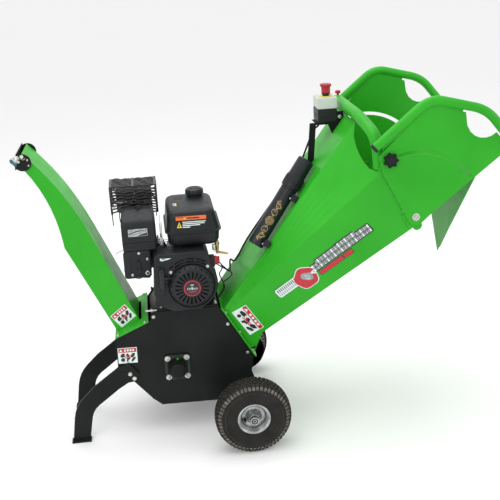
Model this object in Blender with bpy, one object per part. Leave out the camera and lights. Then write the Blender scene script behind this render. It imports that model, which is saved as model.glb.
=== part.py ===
"""Petrol wood chipper with a folding feed tray, built from its separate pieces.

Metres, +Z up.  Shapes are laid out from a point on the ground under the middle of
the wheel axle; at the end everything moves so the origin is under the machine's middle.
+X runs towards the feed tray, -X towards the discharge chute, and -Y is the
side with the engine's recoil starter, called near; +Y is called far.
Most sheet parts are outlines in the XZ plane, extruded across the machine.
"""
import bmesh
import bpy
import math
from math import cos, pi, radians, sin
from mathutils import Matrix, Vector

# ---------------------------------------------------------------- driving dimensions
GAP = 0.0003                      # kept between pieces that touch
SIDES = (("near", -1), ("far", 1))

TYRE_RADIUS = 0.135
TYRE_HALF_WIDTH = 0.043
WHEEL_Y = 0.300                   # middle of each wheel
AXLE_RADIUS = 0.011
MIDDLE_X = 0.0822                 # middle of the whole machine, ahead of the axle

BODY_HALF = 0.125                 # outer face of each side plate
PLATE = 0.005
DECK_Z = 0.482                    # top of the side plates
ROTOR = (-0.247, 0.262)           # rotor axis, X and Z
DRUM_RADIUS = 0.085
BLADE_TIP = 0.122
HOUSING_RADIUS = 0.150
SHAFT_RADIUS = 0.0125

CRANK = (-0.176, 0.588)           # engine shaft axis, X and Z
CRANK_RADIUS = 0.010
BELT_LOW = 0.171
BELT_HIGH = 0.195
DRIVEN_RADIUS = 0.082
DRIVER_RADIUS = 0.055
BELT_THICKNESS = 0.009

OUTLET_LOW = (-0.456, 0.398)      # chute flange line, lower and upper end
OUTLET_HIGH = (-0.336, 0.450)
CHUTE_HALF_BASE = 0.086
CHUTE_HALF_END = 0.078
CHUTE_KINK = (-0.600, 0.733)
CHUTE_BACK = (-0.492, 0.735)
CHUTE_TIP_TOP = (-0.702, 1.073)
CHUTE_TIP_LOW = (-0.703, 1.020)
SHEET = 0.003
FLAP_PIVOT = (-0.702, 1.044)
EAR_RADIUS = 0.029

THROAT_TOP = (-0.074, 0.470)      # hopper flange line, upper and lower end
THROAT_LOW = (0.035, 0.279)
TOP_HALF = 0.135                  # half width of the hopper's top panel
MOUTH_TOP = (0.411, 1.113)
MOUTH_CREASE = (0.451, 0.984)
MOUTH_LOW = (0.556, 0.784)
MOUTH_HALF = 0.325
THROAT_HALF = 0.1225
HOLLOW_DEPTH = 0.040              # of each shoulder's curved mouth edge
HOLLOW_STEPS = 6

PIVOT = (0.566, 0.825)            # feed tray hinge, X and Z
WING_IN = 0.3305                  # inner face of each wing plate
WING_OUT = 0.3345
KNOB_ARC = 0.218                  # slot radius about the hinge
SLOT_START = 114.0                # degrees, where the knob sits with the tray open
SLOT_END = 36.0
SLOT_HALF = 0.0065
TRAY_SLOPE = radians(38.3)
HANDLE_RADIUS = 0.015
HANDLE_Y = 0.3368

HOOP_RADIUS = 0.020
HOOP_TOP = 1.137                  # height of its middle line
TANK_FRONT, TANK_BACK = -0.122, 0.118
TANK_CAP = (-0.134, 0.074)        # X and Y of the filler
RECOIL_RADIUS = 0.080
TUBE_RADIUS = 0.029
BOX_LOW, BOX_SPLIT, BOX_TOP = 1.0885, 1.1360, 1.1750      # stop box heights
BOX_X = (0.311, 0.380)
BOX_Y = (-0.004, 0.078)

COLOURS = {
    "green": ((0.060, 0.440, 0.040), 0.32, 0.0),
    "black_paint": ((0.012, 0.012, 0.013), 0.40, 0.0),
    "black_plastic": ((0.016, 0.017, 0.018), 0.55, 0.0),
    "rubber": ((0.018, 0.018, 0.018), 0.80, 0.0),
    "zinc": ((0.60, 0.61, 0.60), 0.35, 0.9),
    "steel": ((0.42, 0.42, 0.42), 0.35, 1.0),
    "aluminium": ((0.50, 0.50, 0.51), 0.45, 0.9),
    "cast_iron": ((0.10, 0.10, 0.10), 0.60, 0.6),
    "red": ((0.62, 0.020, 0.020), 0.35, 0.0),
    "grey_plastic": ((0.58, 0.59, 0.56), 0.45, 0.0),
    "brass": ((0.55, 0.40, 0.14), 0.35, 1.0),
    "teal": ((0.01, 0.20, 0.26), 0.40, 0.0),
}


# ---------------------------------------------------------------- plain tools
def clear_scene():
    for obj in list(bpy.data.objects):
        bpy.data.objects.remove(obj, do_unlink=True)


def material(name):
    found = bpy.data.materials.get(name)
    if found:
        return found
    colour, roughness, metallic = COLOURS[name]
    made = bpy.data.materials.new(name)
    made.use_nodes = True
    shader = made.node_tree.nodes["Principled BSDF"]
    shader.inputs["Base Color"].default_value = (*colour, 1.0)
    shader.inputs["Roughness"].default_value = roughness
    shader.inputs["Metallic"].default_value = metallic
    return made


def finish(name, bm, look, origin=(0.0, 0.0, 0.0), smooth=None):
    """Turn a bmesh in world coordinates into an object whose origin is at origin."""
    bmesh.ops.remove_doubles(bm, verts=bm.verts, dist=1e-6)
    bmesh.ops.recalc_face_normals(bm, faces=bm.faces)
    bmesh.ops.translate(bm, verts=bm.verts, vec=-Vector(origin))
    mesh = bpy.data.meshes.new(name)
    bm.to_mesh(mesh)
    bm.free()
    if smooth:
        mesh.shade_smooth()
        mesh.set_sharp_from_angle(angle=radians(smooth))
    obj = bpy.data.objects.new(name, mesh)
    obj.location = origin
    obj.data.materials.append(material(look))
    bpy.context.scene.collection.objects.link(obj)
    return obj


def boolean(obj, operation, tool):
    """Cut or join obj with a tool object, which is then only a guide."""
    tool.hide_render = True
    tool.display_type = "WIRE"
    modifier = obj.modifiers.new(operation.lower(), "BOOLEAN")
    modifier.operation = operation
    modifier.solver = "EXACT"
    modifier.object = tool


def cut(obj, *tools):
    for tool in tools:
        boolean(obj, "DIFFERENCE", tool)


def join(obj, *tools):
    for tool in tools:
        boolean(obj, "UNION", tool)


def prism_mesh(outline, low, high, half_at=None):
    """Extrude an XZ outline along Y; half_at(z) gives a sloping half width instead."""
    bm = bmesh.new()
    ends = []
    for sign, level in ((-1, low), (1, high)):
        row = []
        for x, z in outline:
            y = sign * half_at(z) if half_at else level
            row.append(bm.verts.new((x, y, z)))
        ends.append(row)
    bm.faces.new(ends[0])
    bm.faces.new(reversed(ends[1]))
    count = len(outline)
    for i in range(count):
        j = (i + 1) % count
        bm.faces.new((ends[0][i], ends[0][j], ends[1][j], ends[1][i]))
    bmesh.ops.recalc_face_normals(bm, faces=bm.faces)
    return bm


def prism(name, outline, low, high, look, origin=(0, 0, 0), smooth=None, half_at=None):
    return finish(name, prism_mesh(outline, low, high, half_at), look, origin, smooth)


def block(name, low, high, look, origin=(0, 0, 0), bevel=0.0, segments=2):
    outline = [(low[0], low[2]), (high[0], low[2]), (high[0], high[2]), (low[0], high[2])]
    bm = prism_mesh(outline, low[1], high[1])
    if bevel:
        bmesh.ops.bevel(bm, geom=list(bm.edges), offset=bevel, segments=segments,
                        profile=0.5, affect="EDGES")
    return finish(name, bm, look, origin, 30 if bevel else None)


def turned(name, profile, look, centre, axis="Y", segments=28, origin=None, matrix=None):
    """Revolve (radius, height) points; a profile that meets the axis is solid."""
    bm = bmesh.new()
    rings = []
    for radius, height in profile:
        if radius < 1e-9:
            rings.append([bm.verts.new((0, 0, height))])
            continue
        angles = [2 * pi * k / segments for k in range(segments)]
        rings.append([bm.verts.new((radius * cos(a), radius * sin(a), height)) for a in angles])
    solid = len(rings[0]) == 1 or len(rings[-1]) == 1
    pairs = list(zip(rings, rings[1:]))
    if not solid:
        pairs.append((rings[-1], rings[0]))
    for first, second in pairs:
        for k in range(segments):
            n = (k + 1) % segments
            corners = [first[k % len(first)], first[n % len(first)],
                       second[n % len(second)], second[k % len(second)]]
            unique = list(dict.fromkeys(corners))
            if len(unique) > 2:
                bm.faces.new(unique)
    turn = {"X": Matrix.Rotation(pi / 2, 4, "Y"), "Y": Matrix.Rotation(-pi / 2, 4, "X"),
            "Z": Matrix.Identity(4)}[axis] if matrix is None else matrix
    bmesh.ops.transform(bm, matrix=Matrix.Translation(centre) @ turn, verts=bm.verts)
    return finish(name, bm, look, centre if origin is None else origin, 35)


def rod(name, radius, low, high, look, centre, axis="Y", segments=24, origin=None, matrix=None):
    profile = [(0, low), (radius, low), (radius, high), (0, high)]
    return turned(name, profile, look, centre, axis, segments, origin, matrix)


def at_y(point, y=0.0):
    return (point[0], y, point[1])


def bezier(a, b, c, d, steps, first=0):
    points = []
    for k in range(first, steps + 1):
        t = k / steps
        s = 1 - t
        points.append(tuple(s ** 3 * a[i] + 3 * s * s * t * b[i] + 3 * s * t * t * c[i]
                            + t ** 3 * d[i] for i in range(len(a))))
    return points


def arc(centre, radius, start, end, steps):
    turn = [radians(start + (end - start) * k / steps) for k in range(steps + 1)]
    return [(centre[0] + radius * cos(a), centre[1] + radius * sin(a)) for a in turn]


def offset_line(points, distance):
    """The polyline moved sideways, to its left for a positive distance."""
    moved = []
    count = len(points)
    for i, (x, z) in enumerate(points):
        normals = []
        for j in (i - 1, i):
            if 0 <= j < count - 1:
                dx = points[j + 1][0] - points[j][0]
                dz = points[j + 1][1] - points[j][1]
                length = math.hypot(dx, dz)
                normals.append((-dz / length, dx / length))
        nx = sum(n[0] for n in normals)
        nz = sum(n[1] for n in normals)
        size = math.hypot(nx, nz)
        nx, nz = nx / size, nz / size
        reach = distance / (nx * normals[0][0] + nz * normals[0][1])
        moved.append((x + nx * reach, z + nz * reach))
    return moved


def sheet(name, points, thickness, low, high, look, smooth=None):
    """Bent strip: thickness is laid off to the left of the polyline."""
    outline = list(points) + offset_line(points, thickness)[::-1]
    return prism(name, outline, low, high, look, smooth=smooth)


def rounded_path(points, bend, steps=5):
    """Replace each inner corner by an arc-like curve that starts bend before it."""
    path = [Vector(points[0])]
    for before, corner, after in zip(points, points[1:], points[2:]):
        before, corner, after = Vector(before), Vector(corner), Vector(after)
        start = corner + (before - corner).normalized() * bend
        end = corner + (after - corner).normalized() * bend
        path += [start.lerp(corner, k / steps).lerp(corner.lerp(end, k / steps), k / steps)
                 for k in range(steps + 1)]
    path.append(Vector(points[-1]))
    return path


def tube(name, path, radius, look, segments=12, origin=(0, 0, 0)):
    """Solid round bar along a path, with flat ends."""
    bm = bmesh.new()
    side = None
    rings = []
    for i, point in enumerate(path):
        ahead = (path[min(i + 1, len(path) - 1)] - path[max(i - 1, 0)]).normalized()
        if side is None:
            side = ahead.orthogonal().normalized()
        side = (side - ahead * side.dot(ahead)).normalized()
        up = ahead.cross(side)
        rings.append([bm.verts.new(point + side * radius * cos(2 * pi * k / segments)
                                   + up * radius * sin(2 * pi * k / segments))
                      for k in range(segments)])
    for first, second in zip(rings, rings[1:]):
        for k in range(segments):
            n = (k + 1) % segments
            bm.faces.new((first[k], first[n], second[n], second[k]))
    bm.faces.new(reversed(rings[0]))
    bm.faces.new(rings[-1])
    return finish(name, bm, look, origin, 40)


def hull_outline(circles, steps=16):
    """Outline of circles wrapped by a tight band, as convex hull of their points."""
    points = []
    for centre, radius in circles:
        points += arc(centre, radius, 0, 360 - 360 / (4 * steps), 4 * steps - 1)
    points.sort()

    def half(ordered):
        line = []
        for p in ordered:
            while len(line) > 1:
                (ax, az), (bx, bz) = line[-2], line[-1]
                if (bx - ax) * (p[1] - az) - (bz - az) * (p[0] - ax) > 1e-12:
                    break
                line.pop()
            line.append(p)
        return line[:-1]
    return half(points) + half(points[::-1])


def mirrored(low, high, sign):
    """A range of distances from the middle plane, on the near or the far side."""
    return (low, high) if sign > 0 else (-high, -low)


# ---------------------------------------------------------------- chassis and drum housing
PLATE_OUTLINE = [(-0.459, 0.394), (-0.460, 0.276), (-0.406, 0.215), (-0.345, 0.140), (-0.313, 0.112),
                 (-0.060, 0.106), (0.024, 0.106), (0.034, 0.124), (0.030, 0.190), (0.022, 0.215),
                 (0.0325, 0.277), (-0.0775, 0.468), (-0.086, DECK_Z), (-0.308, DECK_Z),
                 (-0.335, 0.4465)]


def side_plates():
    for side, sign in SIDES:
        low, high = mirrored(BODY_HALF - PLATE, BODY_HALF, sign)
        plate = prism("body_%s_plate" % side, PLATE_OUTLINE, low, high, "black_paint")
        cut(plate,
            rod("cut_shaft_" + side, 0.020, -0.02, 0.02, "steel", at_y(ROTOR, sign * BODY_HALF)),
            rod("cut_axle_" + side, AXLE_RADIUS + GAP, -0.02, 0.02, "steel",
                (0, sign * BODY_HALF, TYRE_RADIUS)))


def drum_housing():
    inner = BODY_HALF - PLATE - GAP
    floor = [(-0.4555, 0.393), (-0.4555, 0.279), (-0.404, 0.219)]
    floor += arc(ROTOR, HOUSING_RADIUS, 207, 292, 10)
    floor += [(-0.020, 0.150), (0.016, 0.215), (0.0265, 0.274)]
    sheet("drum_wrap", floor, 0.004, -inner, inner, "black_paint", smooth=20)
    cover = [(-0.083, 0.4675), (-0.089, 0.4785), (-0.306, 0.4785), (-0.330, 0.4465)]
    sheet("drum_cover", cover, 0.003, -inner, inner, "black_paint")
    bed = [(0.0195, 0.280), (-0.086, 0.240), (-0.112, 0.243), (-0.1185, 0.2325), (-0.100, 0.222),
           (0.0150, 0.266)]
    prism("bed_knife", bed, -inner, inner, "steel")


def legs():
    lower = [(-0.3860, 0.250), (-0.4020, 0.222), (-0.428, 0.219), (-0.464, 0.197)]
    lower += bezier((-0.541, 0.139), (-0.562, 0.122), (-0.568, 0.102), (-0.572, 0.078), 4)
    upper = [(-0.586, 0.002), (-0.648, 0.002)]
    upper += bezier((-0.634, 0.095), (-0.629, 0.128), (-0.615, 0.153), (-0.591, 0.177), 4)
    upper += [(-0.549, 0.217), (-0.459, 0.283), (-0.420, 0.296)]
    for side, sign in SIDES:
        low, high = mirrored(BODY_HALF + 0.0005, BODY_HALF + 0.0085, sign)
        leg = prism("%s_leg" % side, lower + upper, low, high, "black_paint")
        low, high = mirrored(BODY_HALF - 0.010, BODY_HALF + 0.022, sign)
        join(leg, block("foot_" + side, (-0.652, low, 0.0), (-0.582, high, 0.006), "black_paint"))


def axle():
    reach = WHEEL_Y + 0.050
    hub = WHEEL_Y + 0.0385
    profile = [(0, -reach), (0.0155, -reach), (0.0155, -hub), (AXLE_RADIUS, -hub),
               (AXLE_RADIUS, hub), (0.0155, hub), (0.0155, reach), (0, reach)]
    turned("axle", profile, "zinc", (0, 0, TYRE_RADIUS), segments=24)


def wheels():
    w = TYRE_HALF_WIDTH
    outer = [(0.0525, -0.030), (0.076, -0.040), (0.104, -w), (0.124, -0.037), (TYRE_RADIUS, -0.022)]
    outer += [(r, -h) for r, h in reversed(outer)]
    inner = [(0.0525, 0.022), (0.085, 0.033), (0.120, 0.029), (0.127, 0.016)]
    inner += [(r, -h) for r, h in reversed(inner)]
    rim = [(AXLE_RADIUS + 0.0005, -0.038), (0.019, -0.038), (0.019, -0.003), (0.046, -0.003),
           (0.047, -0.036), (0.058, -0.036), (0.058, -0.0338), (0.0521, -0.0322)]
    rim += [(r, -h) for r, h in reversed(rim)]
    for side, sign in SIDES:
        centre = (0, sign * WHEEL_Y, TYRE_RADIUS)
        turned("%s_tyre" % side, outer + inner, "rubber", centre, segments=36)
        turned("%s_rim" % side, rim, "zinc", centre, segments=28)


def bearings():
    for side, sign in SIDES:
        face = sign * (BODY_HALF + 0.0005)
        low, high = sorted((face, face + sign * 0.009))
        x, z = ROTOR
        housing = block("%s_bearing" % side, (x - 0.038, low, z - 0.038),
                        (x + 0.038, high, z + 0.038), "black_paint", bevel=0.002, segments=1)
        low, high = sorted((face + sign * 0.001, face + sign * 0.032))
        join(housing, rod("boss_" + side, 0.030, low, high, "black_paint", at_y(ROTOR)))
        cut(housing, rod("bore_" + side, SHAFT_RADIUS + GAP, -0.3, 0.3, "black_paint",
                         at_y(ROTOR), segments=24))


def rotor():
    shaft = SHAFT_RADIUS
    core, disc = 0.032, 0.010
    profile = [(0, -0.172), (shaft, -0.172), (shaft, -0.112), (DRUM_RADIUS, -0.112),
               (DRUM_RADIUS, -0.112 + disc), (core, -0.112 + disc), (core, -disc / 2),
               (DRUM_RADIUS, -disc / 2), (DRUM_RADIUS, disc / 2), (core, disc / 2),
               (core, 0.112 - disc), (DRUM_RADIUS, 0.112 - disc), (DRUM_RADIUS, 0.112),
               (shaft, 0.112), (shaft, 0.206), (0, 0.206)]
    turned("rotor", profile, "steel", at_y(ROTOR), segments=24)
    for number, angle in ((1, 60), (2, 240)):
        out = Vector((cos(radians(angle)), sin(radians(angle))))
        along = Vector((-out.y, out.x))
        centre = Vector(ROTOR)
        inner = DRUM_RADIUS + 0.0008
        corners = [(inner, -0.012), (BLADE_TIP, 0.004), (BLADE_TIP, 0.008), (inner, 0.012)]
        outline = [tuple(centre + out * r + along * s) for r, s in corners]
        prism("rotor_blade_%d" % number, outline, -0.110, 0.110, "steel", at_y(ROTOR))


def belt_drive():
    grooves = [(1.0, -0.012), (1.0, -0.009), (0.86, -0.006), (1.0, -0.002), (1.0, 0.002),
               (0.86, 0.006), (1.0, 0.009), (1.0, 0.012)]
    middle = (BELT_LOW + BELT_HIGH) / 2
    for name, centre, radius, bore in (("driven_pulley", ROTOR, DRIVEN_RADIUS, SHAFT_RADIUS),
                                       ("clutch_pulley", CRANK, DRIVER_RADIUS, CRANK_RADIUS)):
        profile = [(bore + GAP, -0.012)] + [(radius * k, h) for k, h in grooves]
        profile += [(bore + GAP, 0.012)]
        turned(name, profile, "cast_iron", at_y(centre, middle), segments=24)
    clear = 0.0005
    loop = [(ROTOR, DRIVEN_RADIUS + clear), (CRANK, DRIVER_RADIUS + clear)]
    thick = [(c, r + BELT_THICKNESS) for c, r in loop]
    belt = prism("drive_belt", hull_outline(thick, 10), BELT_LOW, BELT_HIGH, "rubber")
    cut(belt, prism("cut_belt", hull_outline(loop, 10), BELT_LOW - 0.01, BELT_HIGH + 0.01, "rubber"))
    corner = ((0.020, 0.172), 0.083)
    runs = [[(CRANK, 0.076), (ROTOR, 0.108)], [(ROTOR, 0.108), corner]]
    low, high = BODY_HALF + 0.001, 0.222
    cover = prism("belt_guard", hull_outline(runs[0], 8), low, high, "black_paint", smooth=20)
    join(cover, prism("guard_corner", hull_outline(runs[1], 8), low, high, "black_paint"))
    for number, run in enumerate(runs):
        inside = [(c, r - 0.003) for c, r in run]
        cut(cover, prism("cut_guard_%d" % number, hull_outline(inside, 8), low - 0.01,
                         high - 0.003, "steel"))
    cut(cover, rod("cut_guard_axle", 0.014, 0.1, 0.3, "steel", (0, 0, TYRE_RADIUS)))


# ---------------------------------------------------------------- discharge chute
def chute_half(z):
    share = (z - OUTLET_LOW[1]) / (CHUTE_TIP_TOP[1] - OUTLET_LOW[1])
    return CHUTE_HALF_BASE + (CHUTE_HALF_END - CHUTE_HALF_BASE) * share


def discharge_chute():
    base_back, base_front = (-0.368, 0.4385), (-0.4500, 0.4035)
    back = [base_back] + bezier(CHUTE_BACK, (-0.551, 0.878), (-0.609, 0.975), CHUTE_TIP_TOP, 10)
    front = [base_front] + bezier(CHUTE_KINK, (-0.609, 0.822), (-0.633, 0.925), CHUTE_TIP_LOW, 8)
    chute = prism("discharge_chute", front[::-1] + back, 0, 0, "green", half_at=chute_half)
    along = (Vector(OUTLET_HIGH) - Vector(OUTLET_LOW)).normalized()
    up = Vector((-along.y, along.x))
    start, end = Vector(OUTLET_LOW) + up * 0.0005, Vector(OUTLET_HIGH) + up * 0.0005
    strip = [start, end, end + up * 0.004, start + up * 0.004]
    join(chute, prism("chute_flange", [tuple(p) for p in strip], -0.137, 0.137, "green"))
    inner_back = offset_line(back, SHEET)
    inner_back[0] = tuple(Vector(inner_back[0]) - up * 0.03 + along * 0.012)
    inner_back.append(tuple(Vector(inner_back[-1]) + Vector((-0.030, 0.034))))
    closed = offset_line(front[:2], -SHEET)
    closed[0] = tuple(Vector(closed[0]) - up * 0.03 + along * 0.012)
    opened = [(x - 0.030, z - 0.012) for x, z in front[1:]]
    cavity = (closed + opened)[::-1] + inner_back
    cut(chute, prism("cut_chute", cavity, 0, 0, "green", half_at=lambda z: chute_half(z) - SHEET))


def deflector():
    pivot = at_y(FLAP_PIVOT)
    ear_in, ear_out = CHUTE_HALF_END + 0.004, CHUTE_HALF_END + 0.007
    blade = [(-0.7165, 1.0745), (-0.7205, 1.0735), (-0.7285, 1.0220), (-0.7245, 1.0210)]
    flap = prism("deflector_flap", blade, -ear_out, ear_out, "black_paint", pivot)
    for side, sign in SIDES:
        low, high = mirrored(ear_in, ear_out, sign)
        join(flap, rod("ear_" + side, EAR_RADIUS, low, high, "black_paint", pivot, segments=32))
    hub = (-0.719, -(ear_out + 0.0052), 1.059)
    profile = [(0, -0.018), (0.006, -0.018), (0.009, -0.012), (0.009, 0.004), (0, 0.004)]
    lever = turned("deflector_lever", profile, "zinc", hub, segments=16)
    tab = [(-0.7240, 1.0610), (-0.7130, 1.0520), (-0.7220, 1.0340), (-0.7400, 1.0500), (-0.7400, 1.0590)]
    join(lever, prism("lever_tab", tab, hub[1] - 0.008, hub[1] + 0.001, "teal"))


# ---------------------------------------------------------------- hopper
BAR_BUTTON = (0.417, 0.150, 0.0)


def funnel(name, inset, reach):
    """Closed solid of the hopper's folded shape, set in by inset and longer by reach."""
    down = (Vector(THROAT_LOW) - Vector(THROAT_TOP)).normalized()
    out = Vector((-down.y, down.x))
    top = Vector(THROAT_TOP) + out * 0.003 + down * 0.006
    low = Vector(THROAT_LOW) + out * 0.003 - down * 0.006
    collar = Vector((0.066, 0.366))
    rows = {"top": (top, Vector(MOUTH_TOP), Vector((0.803, -0.595)), TOP_HALF, 0.6),
            "crease": (top + down * 0.020, Vector(MOUTH_CREASE), Vector((0.2, -0.2)), MOUTH_HALF, 1.1),
            "low": (low, Vector(MOUTH_LOW), Vector((-0.649, 0.761)), MOUTH_HALF, 1.1)}
    ends = {}
    for key, (start, end, inward, half, narrow) in rows.items():
        longer = reach / (end - start).length
        first = start + inward * inset - (end - start) * longer
        last = end + inward * inset + (end - start) * longer
        spread = (half - THROAT_HALF) * longer
        ends[key] = (Vector((first.x, THROAT_HALF - inset - spread, first.y)),
                     Vector((last.x, half + spread - inset * narrow, last.y)))
    bm = bmesh.new()
    bend = collar + Vector((-0.8, 0.5)) * inset
    back = low + Vector((-0.94, 0.34)) * inset + (low - collar).normalized() * reach
    floor_bend = Vector((bend.x, THROAT_HALF + 0.010 - inset, bend.y))
    floor_start = Vector((back.x, THROAT_HALF - inset, back.y))
    sides = []
    for sign in (-1, 1):
        def spot(point):
            return bm.verts.new((point.x, sign * point.y, point.z))
        side = {"low_a": spot(floor_start), "bend": spot(floor_bend), "low_b": spot(ends["low"][1])}
        strips = []
        for step in range(HOLLOW_STEPS + 1):
            k = step / HOLLOW_STEPS
            near = ends["top"][0].lerp(ends["crease"][0], k)
            far = ends["top"][1].lerp(ends["crease"][1], k)
            depth = 0.0 if reach else HOLLOW_DEPTH * (1 - (2 * k - 1) ** 2) ** 0.5
            far = far.lerp(near, depth / (far - near).length)
            strips.append((spot(near), spot(far)))
        for one, two in zip(strips, strips[1:]):
            bm.faces.new((one[0], two[0], two[1], one[1]))
        crease_a, crease_b = strips[-1]
        bm.faces.new((crease_a, side["low_b"], crease_b))
        bm.faces.new((crease_a, side["bend"], side["low_b"]))
        bm.faces.new((crease_a, side["low_a"], side["bend"]))
        side["throat"] = [side["low_a"]] + [strip[0] for strip in reversed(strips)]
        side["mouth"] = [side["low_b"]] + [strip[1] for strip in reversed(strips)]
        sides.append(side)
    one, two = sides
    bm.faces.new((one["low_a"], one["bend"], two["bend"], two["low_a"]))
    bm.faces.new((one["bend"], one["low_b"], two["low_b"], two["bend"]))
    bm.faces.new((one["throat"][-1], one["mouth"][-1], two["mouth"][-1], two["throat"][-1]))
    for end in ("throat", "mouth"):
        ring = one[end] + two[end][::-1]
        middle = bm.verts.new(sum((v.co for v in ring), Vector()) / len(ring))
        for i, vert in enumerate(ring):
            bm.faces.new((vert, ring[(i + 1) % len(ring)], middle))
    return finish(name, bm, "green")


def hopper():
    """Folded funnel: flat top strip, sloping shoulders, upright sides, sloping floor."""
    flange_x = (Vector(THROAT_LOW) - Vector(THROAT_TOP)).normalized()
    out = Vector((-flange_x.y, flange_x.x))
    top = Vector(THROAT_TOP) + out * 0.003 + flange_x * 0.006
    low = Vector(THROAT_LOW) + out * 0.003 - flange_x * 0.006
    hollow = funnel("hopper", 0.0, 0.0)
    cut(hollow, funnel("cut_funnel", SHEET, 0.060))
    # flange that bolts to the body
    start, end = Vector(THROAT_TOP) - flange_x * 0.010, Vector(THROAT_LOW) + flange_x * 0.004
    strip = [start + out * 0.0005, end + out * 0.0005, end + out * 0.0045, start + out * 0.0045]
    flange = prism("hopper_flange", [tuple(p) for p in strip], -0.140, 0.140, "green")
    a, b = top + flange_x * 0.002, low - flange_x * 0.002
    hole = [a - out * 0.02, b - out * 0.02, b + out * 0.02, a + out * 0.02]
    cut(flange, prism("cut_throat", [tuple(p) for p in hole], -0.1195, 0.1195, "green"))
    join(hollow, flange)
    # lugs that carry the tray's hinge pins and the clamp knobs
    knob = knob_centre()
    for side, sign in SIDES:
        low_y, high_y = sorted((sign * 0.3225, sign * 0.3290))
        hinge_lug = [(0.520, 0.830), (0.545, 0.786), (0.566, 0.789), (0.590, 0.806), (0.594, 0.838),
                     (0.575, 0.852), (0.530, 0.852)]
        knob_lug = [(0.440, 0.990), (0.460, 0.960), (0.476, 0.968), (0.492, 1.020), (0.488, 1.036),
                    (0.466, 1.040), (0.453, 1.022)]
        join(hollow,
             prism("hinge_lug_" + side, hinge_lug, low_y, high_y, "green"),
             prism("knob_lug_" + side, knob_lug, low_y, high_y, "green"))
        low_y, high_y = sorted((sign * 0.3240, sign * 0.3400))
        join(hollow, rod("hinge_pin_" + side, 0.006, low_y, high_y, "zinc", at_y(PIVOT), segments=16))
        cut(hollow, rod("cut_knob_" + side, 0.0054, -0.02, 0.02, "green",
                        (knob[0], sign * 0.326, knob[1]), segments=16))


def knob_centre():
    angle = radians(SLOT_START)
    return (PIVOT[0] + KNOB_ARC * cos(angle), PIVOT[1] + KNOB_ARC * sin(angle))


def hopper_hoop():
    """Guard bar over the mouth; its ends turn outwards to the hopper's knob lugs."""
    half = ((0.452, 0.296, 0.990), (0.441, 0.296, 1.095), (0.417, 0.170, HOOP_TOP))
    points = [(x, -y, z) for x, y, z in half] + list(reversed(half))
    hoop = tube("hopper_hoop", rounded_path(points, 0.050, 4), HOOP_RADIUS, "green", 14)
    for side, sign in SIDES:
        low, high = mirrored(0.296, 0.3222, sign)
        join(hoop, rod("hoop_foot_" + side, 0.010, low, high, "green", (0.456, 0, 1.000), segments=16))
    seat = HOOP_TOP + HOOP_RADIUS
    cut(hoop, rod("cut_bar_button", 0.0048, seat - 0.014, seat + 0.01, "green", BAR_BUTTON, "Z", 16))


# ---------------------------------------------------------------- feed tray
def handle_line():
    points = [at_y(p, 0) for p in ((0.425, 1.066), (0.604, 1.213), (0.790, 1.165), (0.893, 1.040))]
    return rounded_path(points, 0.045)


def wing_outline():
    left = [(0.440, 1.036), (0.451, 0.984), (0.543, 0.808)]
    foot = arc((0.566, 0.823), 0.027, 215, 308, 4)
    lower = [(0.627, 0.841), (0.833, 1.003), (0.8745, 1.0345)]
    inner = [(p.x, p.z) for p in handle_line()]
    under = offset_line(inner, -(HANDLE_RADIUS + 0.0006))
    right_leg = [p for p in under if p[0] > 0.834 and p[1] > 1.042]
    grip = bezier((0.827, 1.088), (0.800, 1.062), (0.745, 1.068), (0.728, 1.118), 6)
    grip.append((0.722, 1.160))
    top = [p for p in under if 0.455 < p[0] < 0.715]
    outline = left + foot + lower
    outline += [p for p in right_leg[::-1] if p[1] < 1.086]
    outline += grip + top[::-1]
    return outline


def slot_outline():
    outer = arc(PIVOT, KNOB_ARC + SLOT_HALF, SLOT_END, SLOT_START, 14)
    end = arc(knob_centre(), SLOT_HALF, SLOT_START, SLOT_START + 180, 6)
    inner = arc(PIVOT, KNOB_ARC - SLOT_HALF, SLOT_START, SLOT_END, 14)
    angle = radians(SLOT_END)
    far_end = (PIVOT[0] + KNOB_ARC * cos(angle), PIVOT[1] + KNOB_ARC * sin(angle))
    start = arc(far_end, SLOT_HALF, SLOT_END - 180, SLOT_END, 6)
    return outer + end[1:-1] + inner + start[1:-1]


def wings():
    pivot = at_y(PIVOT)
    for side, sign in SIDES:
        low, high = mirrored(WING_IN, WING_OUT, sign)
        wing = prism("%s_wing" % side, wing_outline(), low, high, "green", pivot)
        cut(wing,
            prism("cut_slot_" + side, slot_outline(), low - 0.01, high + 0.01, "green"),
            rod("cut_pivot_" + side, 0.0065, low - 0.01, high + 0.01, "green", pivot, segments=16))
        path = [Vector((p.x, sign * HANDLE_Y, p.z)) for p in handle_line()]
        tube("%s_handle" % side, path, HANDLE_RADIUS, "green", 14, pivot)


def tray_point(along, above):
    u = Vector((cos(TRAY_SLOPE), sin(TRAY_SLOPE)))
    n = Vector((-u.y, u.x))
    return Vector(PIVOT) + u * along + n * above


def tray_floor():
    """Floor of the tray, notched where it passes the hinge and knob lugs when folded."""
    narrow, wide = 0.3165, WING_IN - GAP
    steps = [(-0.015, narrow), (0.060, narrow), (0.060, wide), (0.186, wide), (0.186, narrow),
             (0.248, narrow), (0.248, wide), (0.262, wide)]
    plan = [(s, -w) for s, w in steps] + [(s, w) for s, w in reversed(steps)]
    bm = bmesh.new()
    rows = []
    for above in (-0.022, -0.019):
        points = [tray_point(s, above) for s, w in plan]
        rows.append([bm.verts.new((p.x, w, p.y)) for p, (s, w) in zip(points, plan)])
    bm.faces.new(rows[0])
    bm.faces.new(reversed(rows[1]))
    for i in range(len(plan)):
        j = (i + 1) % len(plan)
        bm.faces.new((rows[0][i], rows[0][j], rows[1][j], rows[1][i]))
    finish("tray_floor", bm, "green", at_y(PIVOT))


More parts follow.
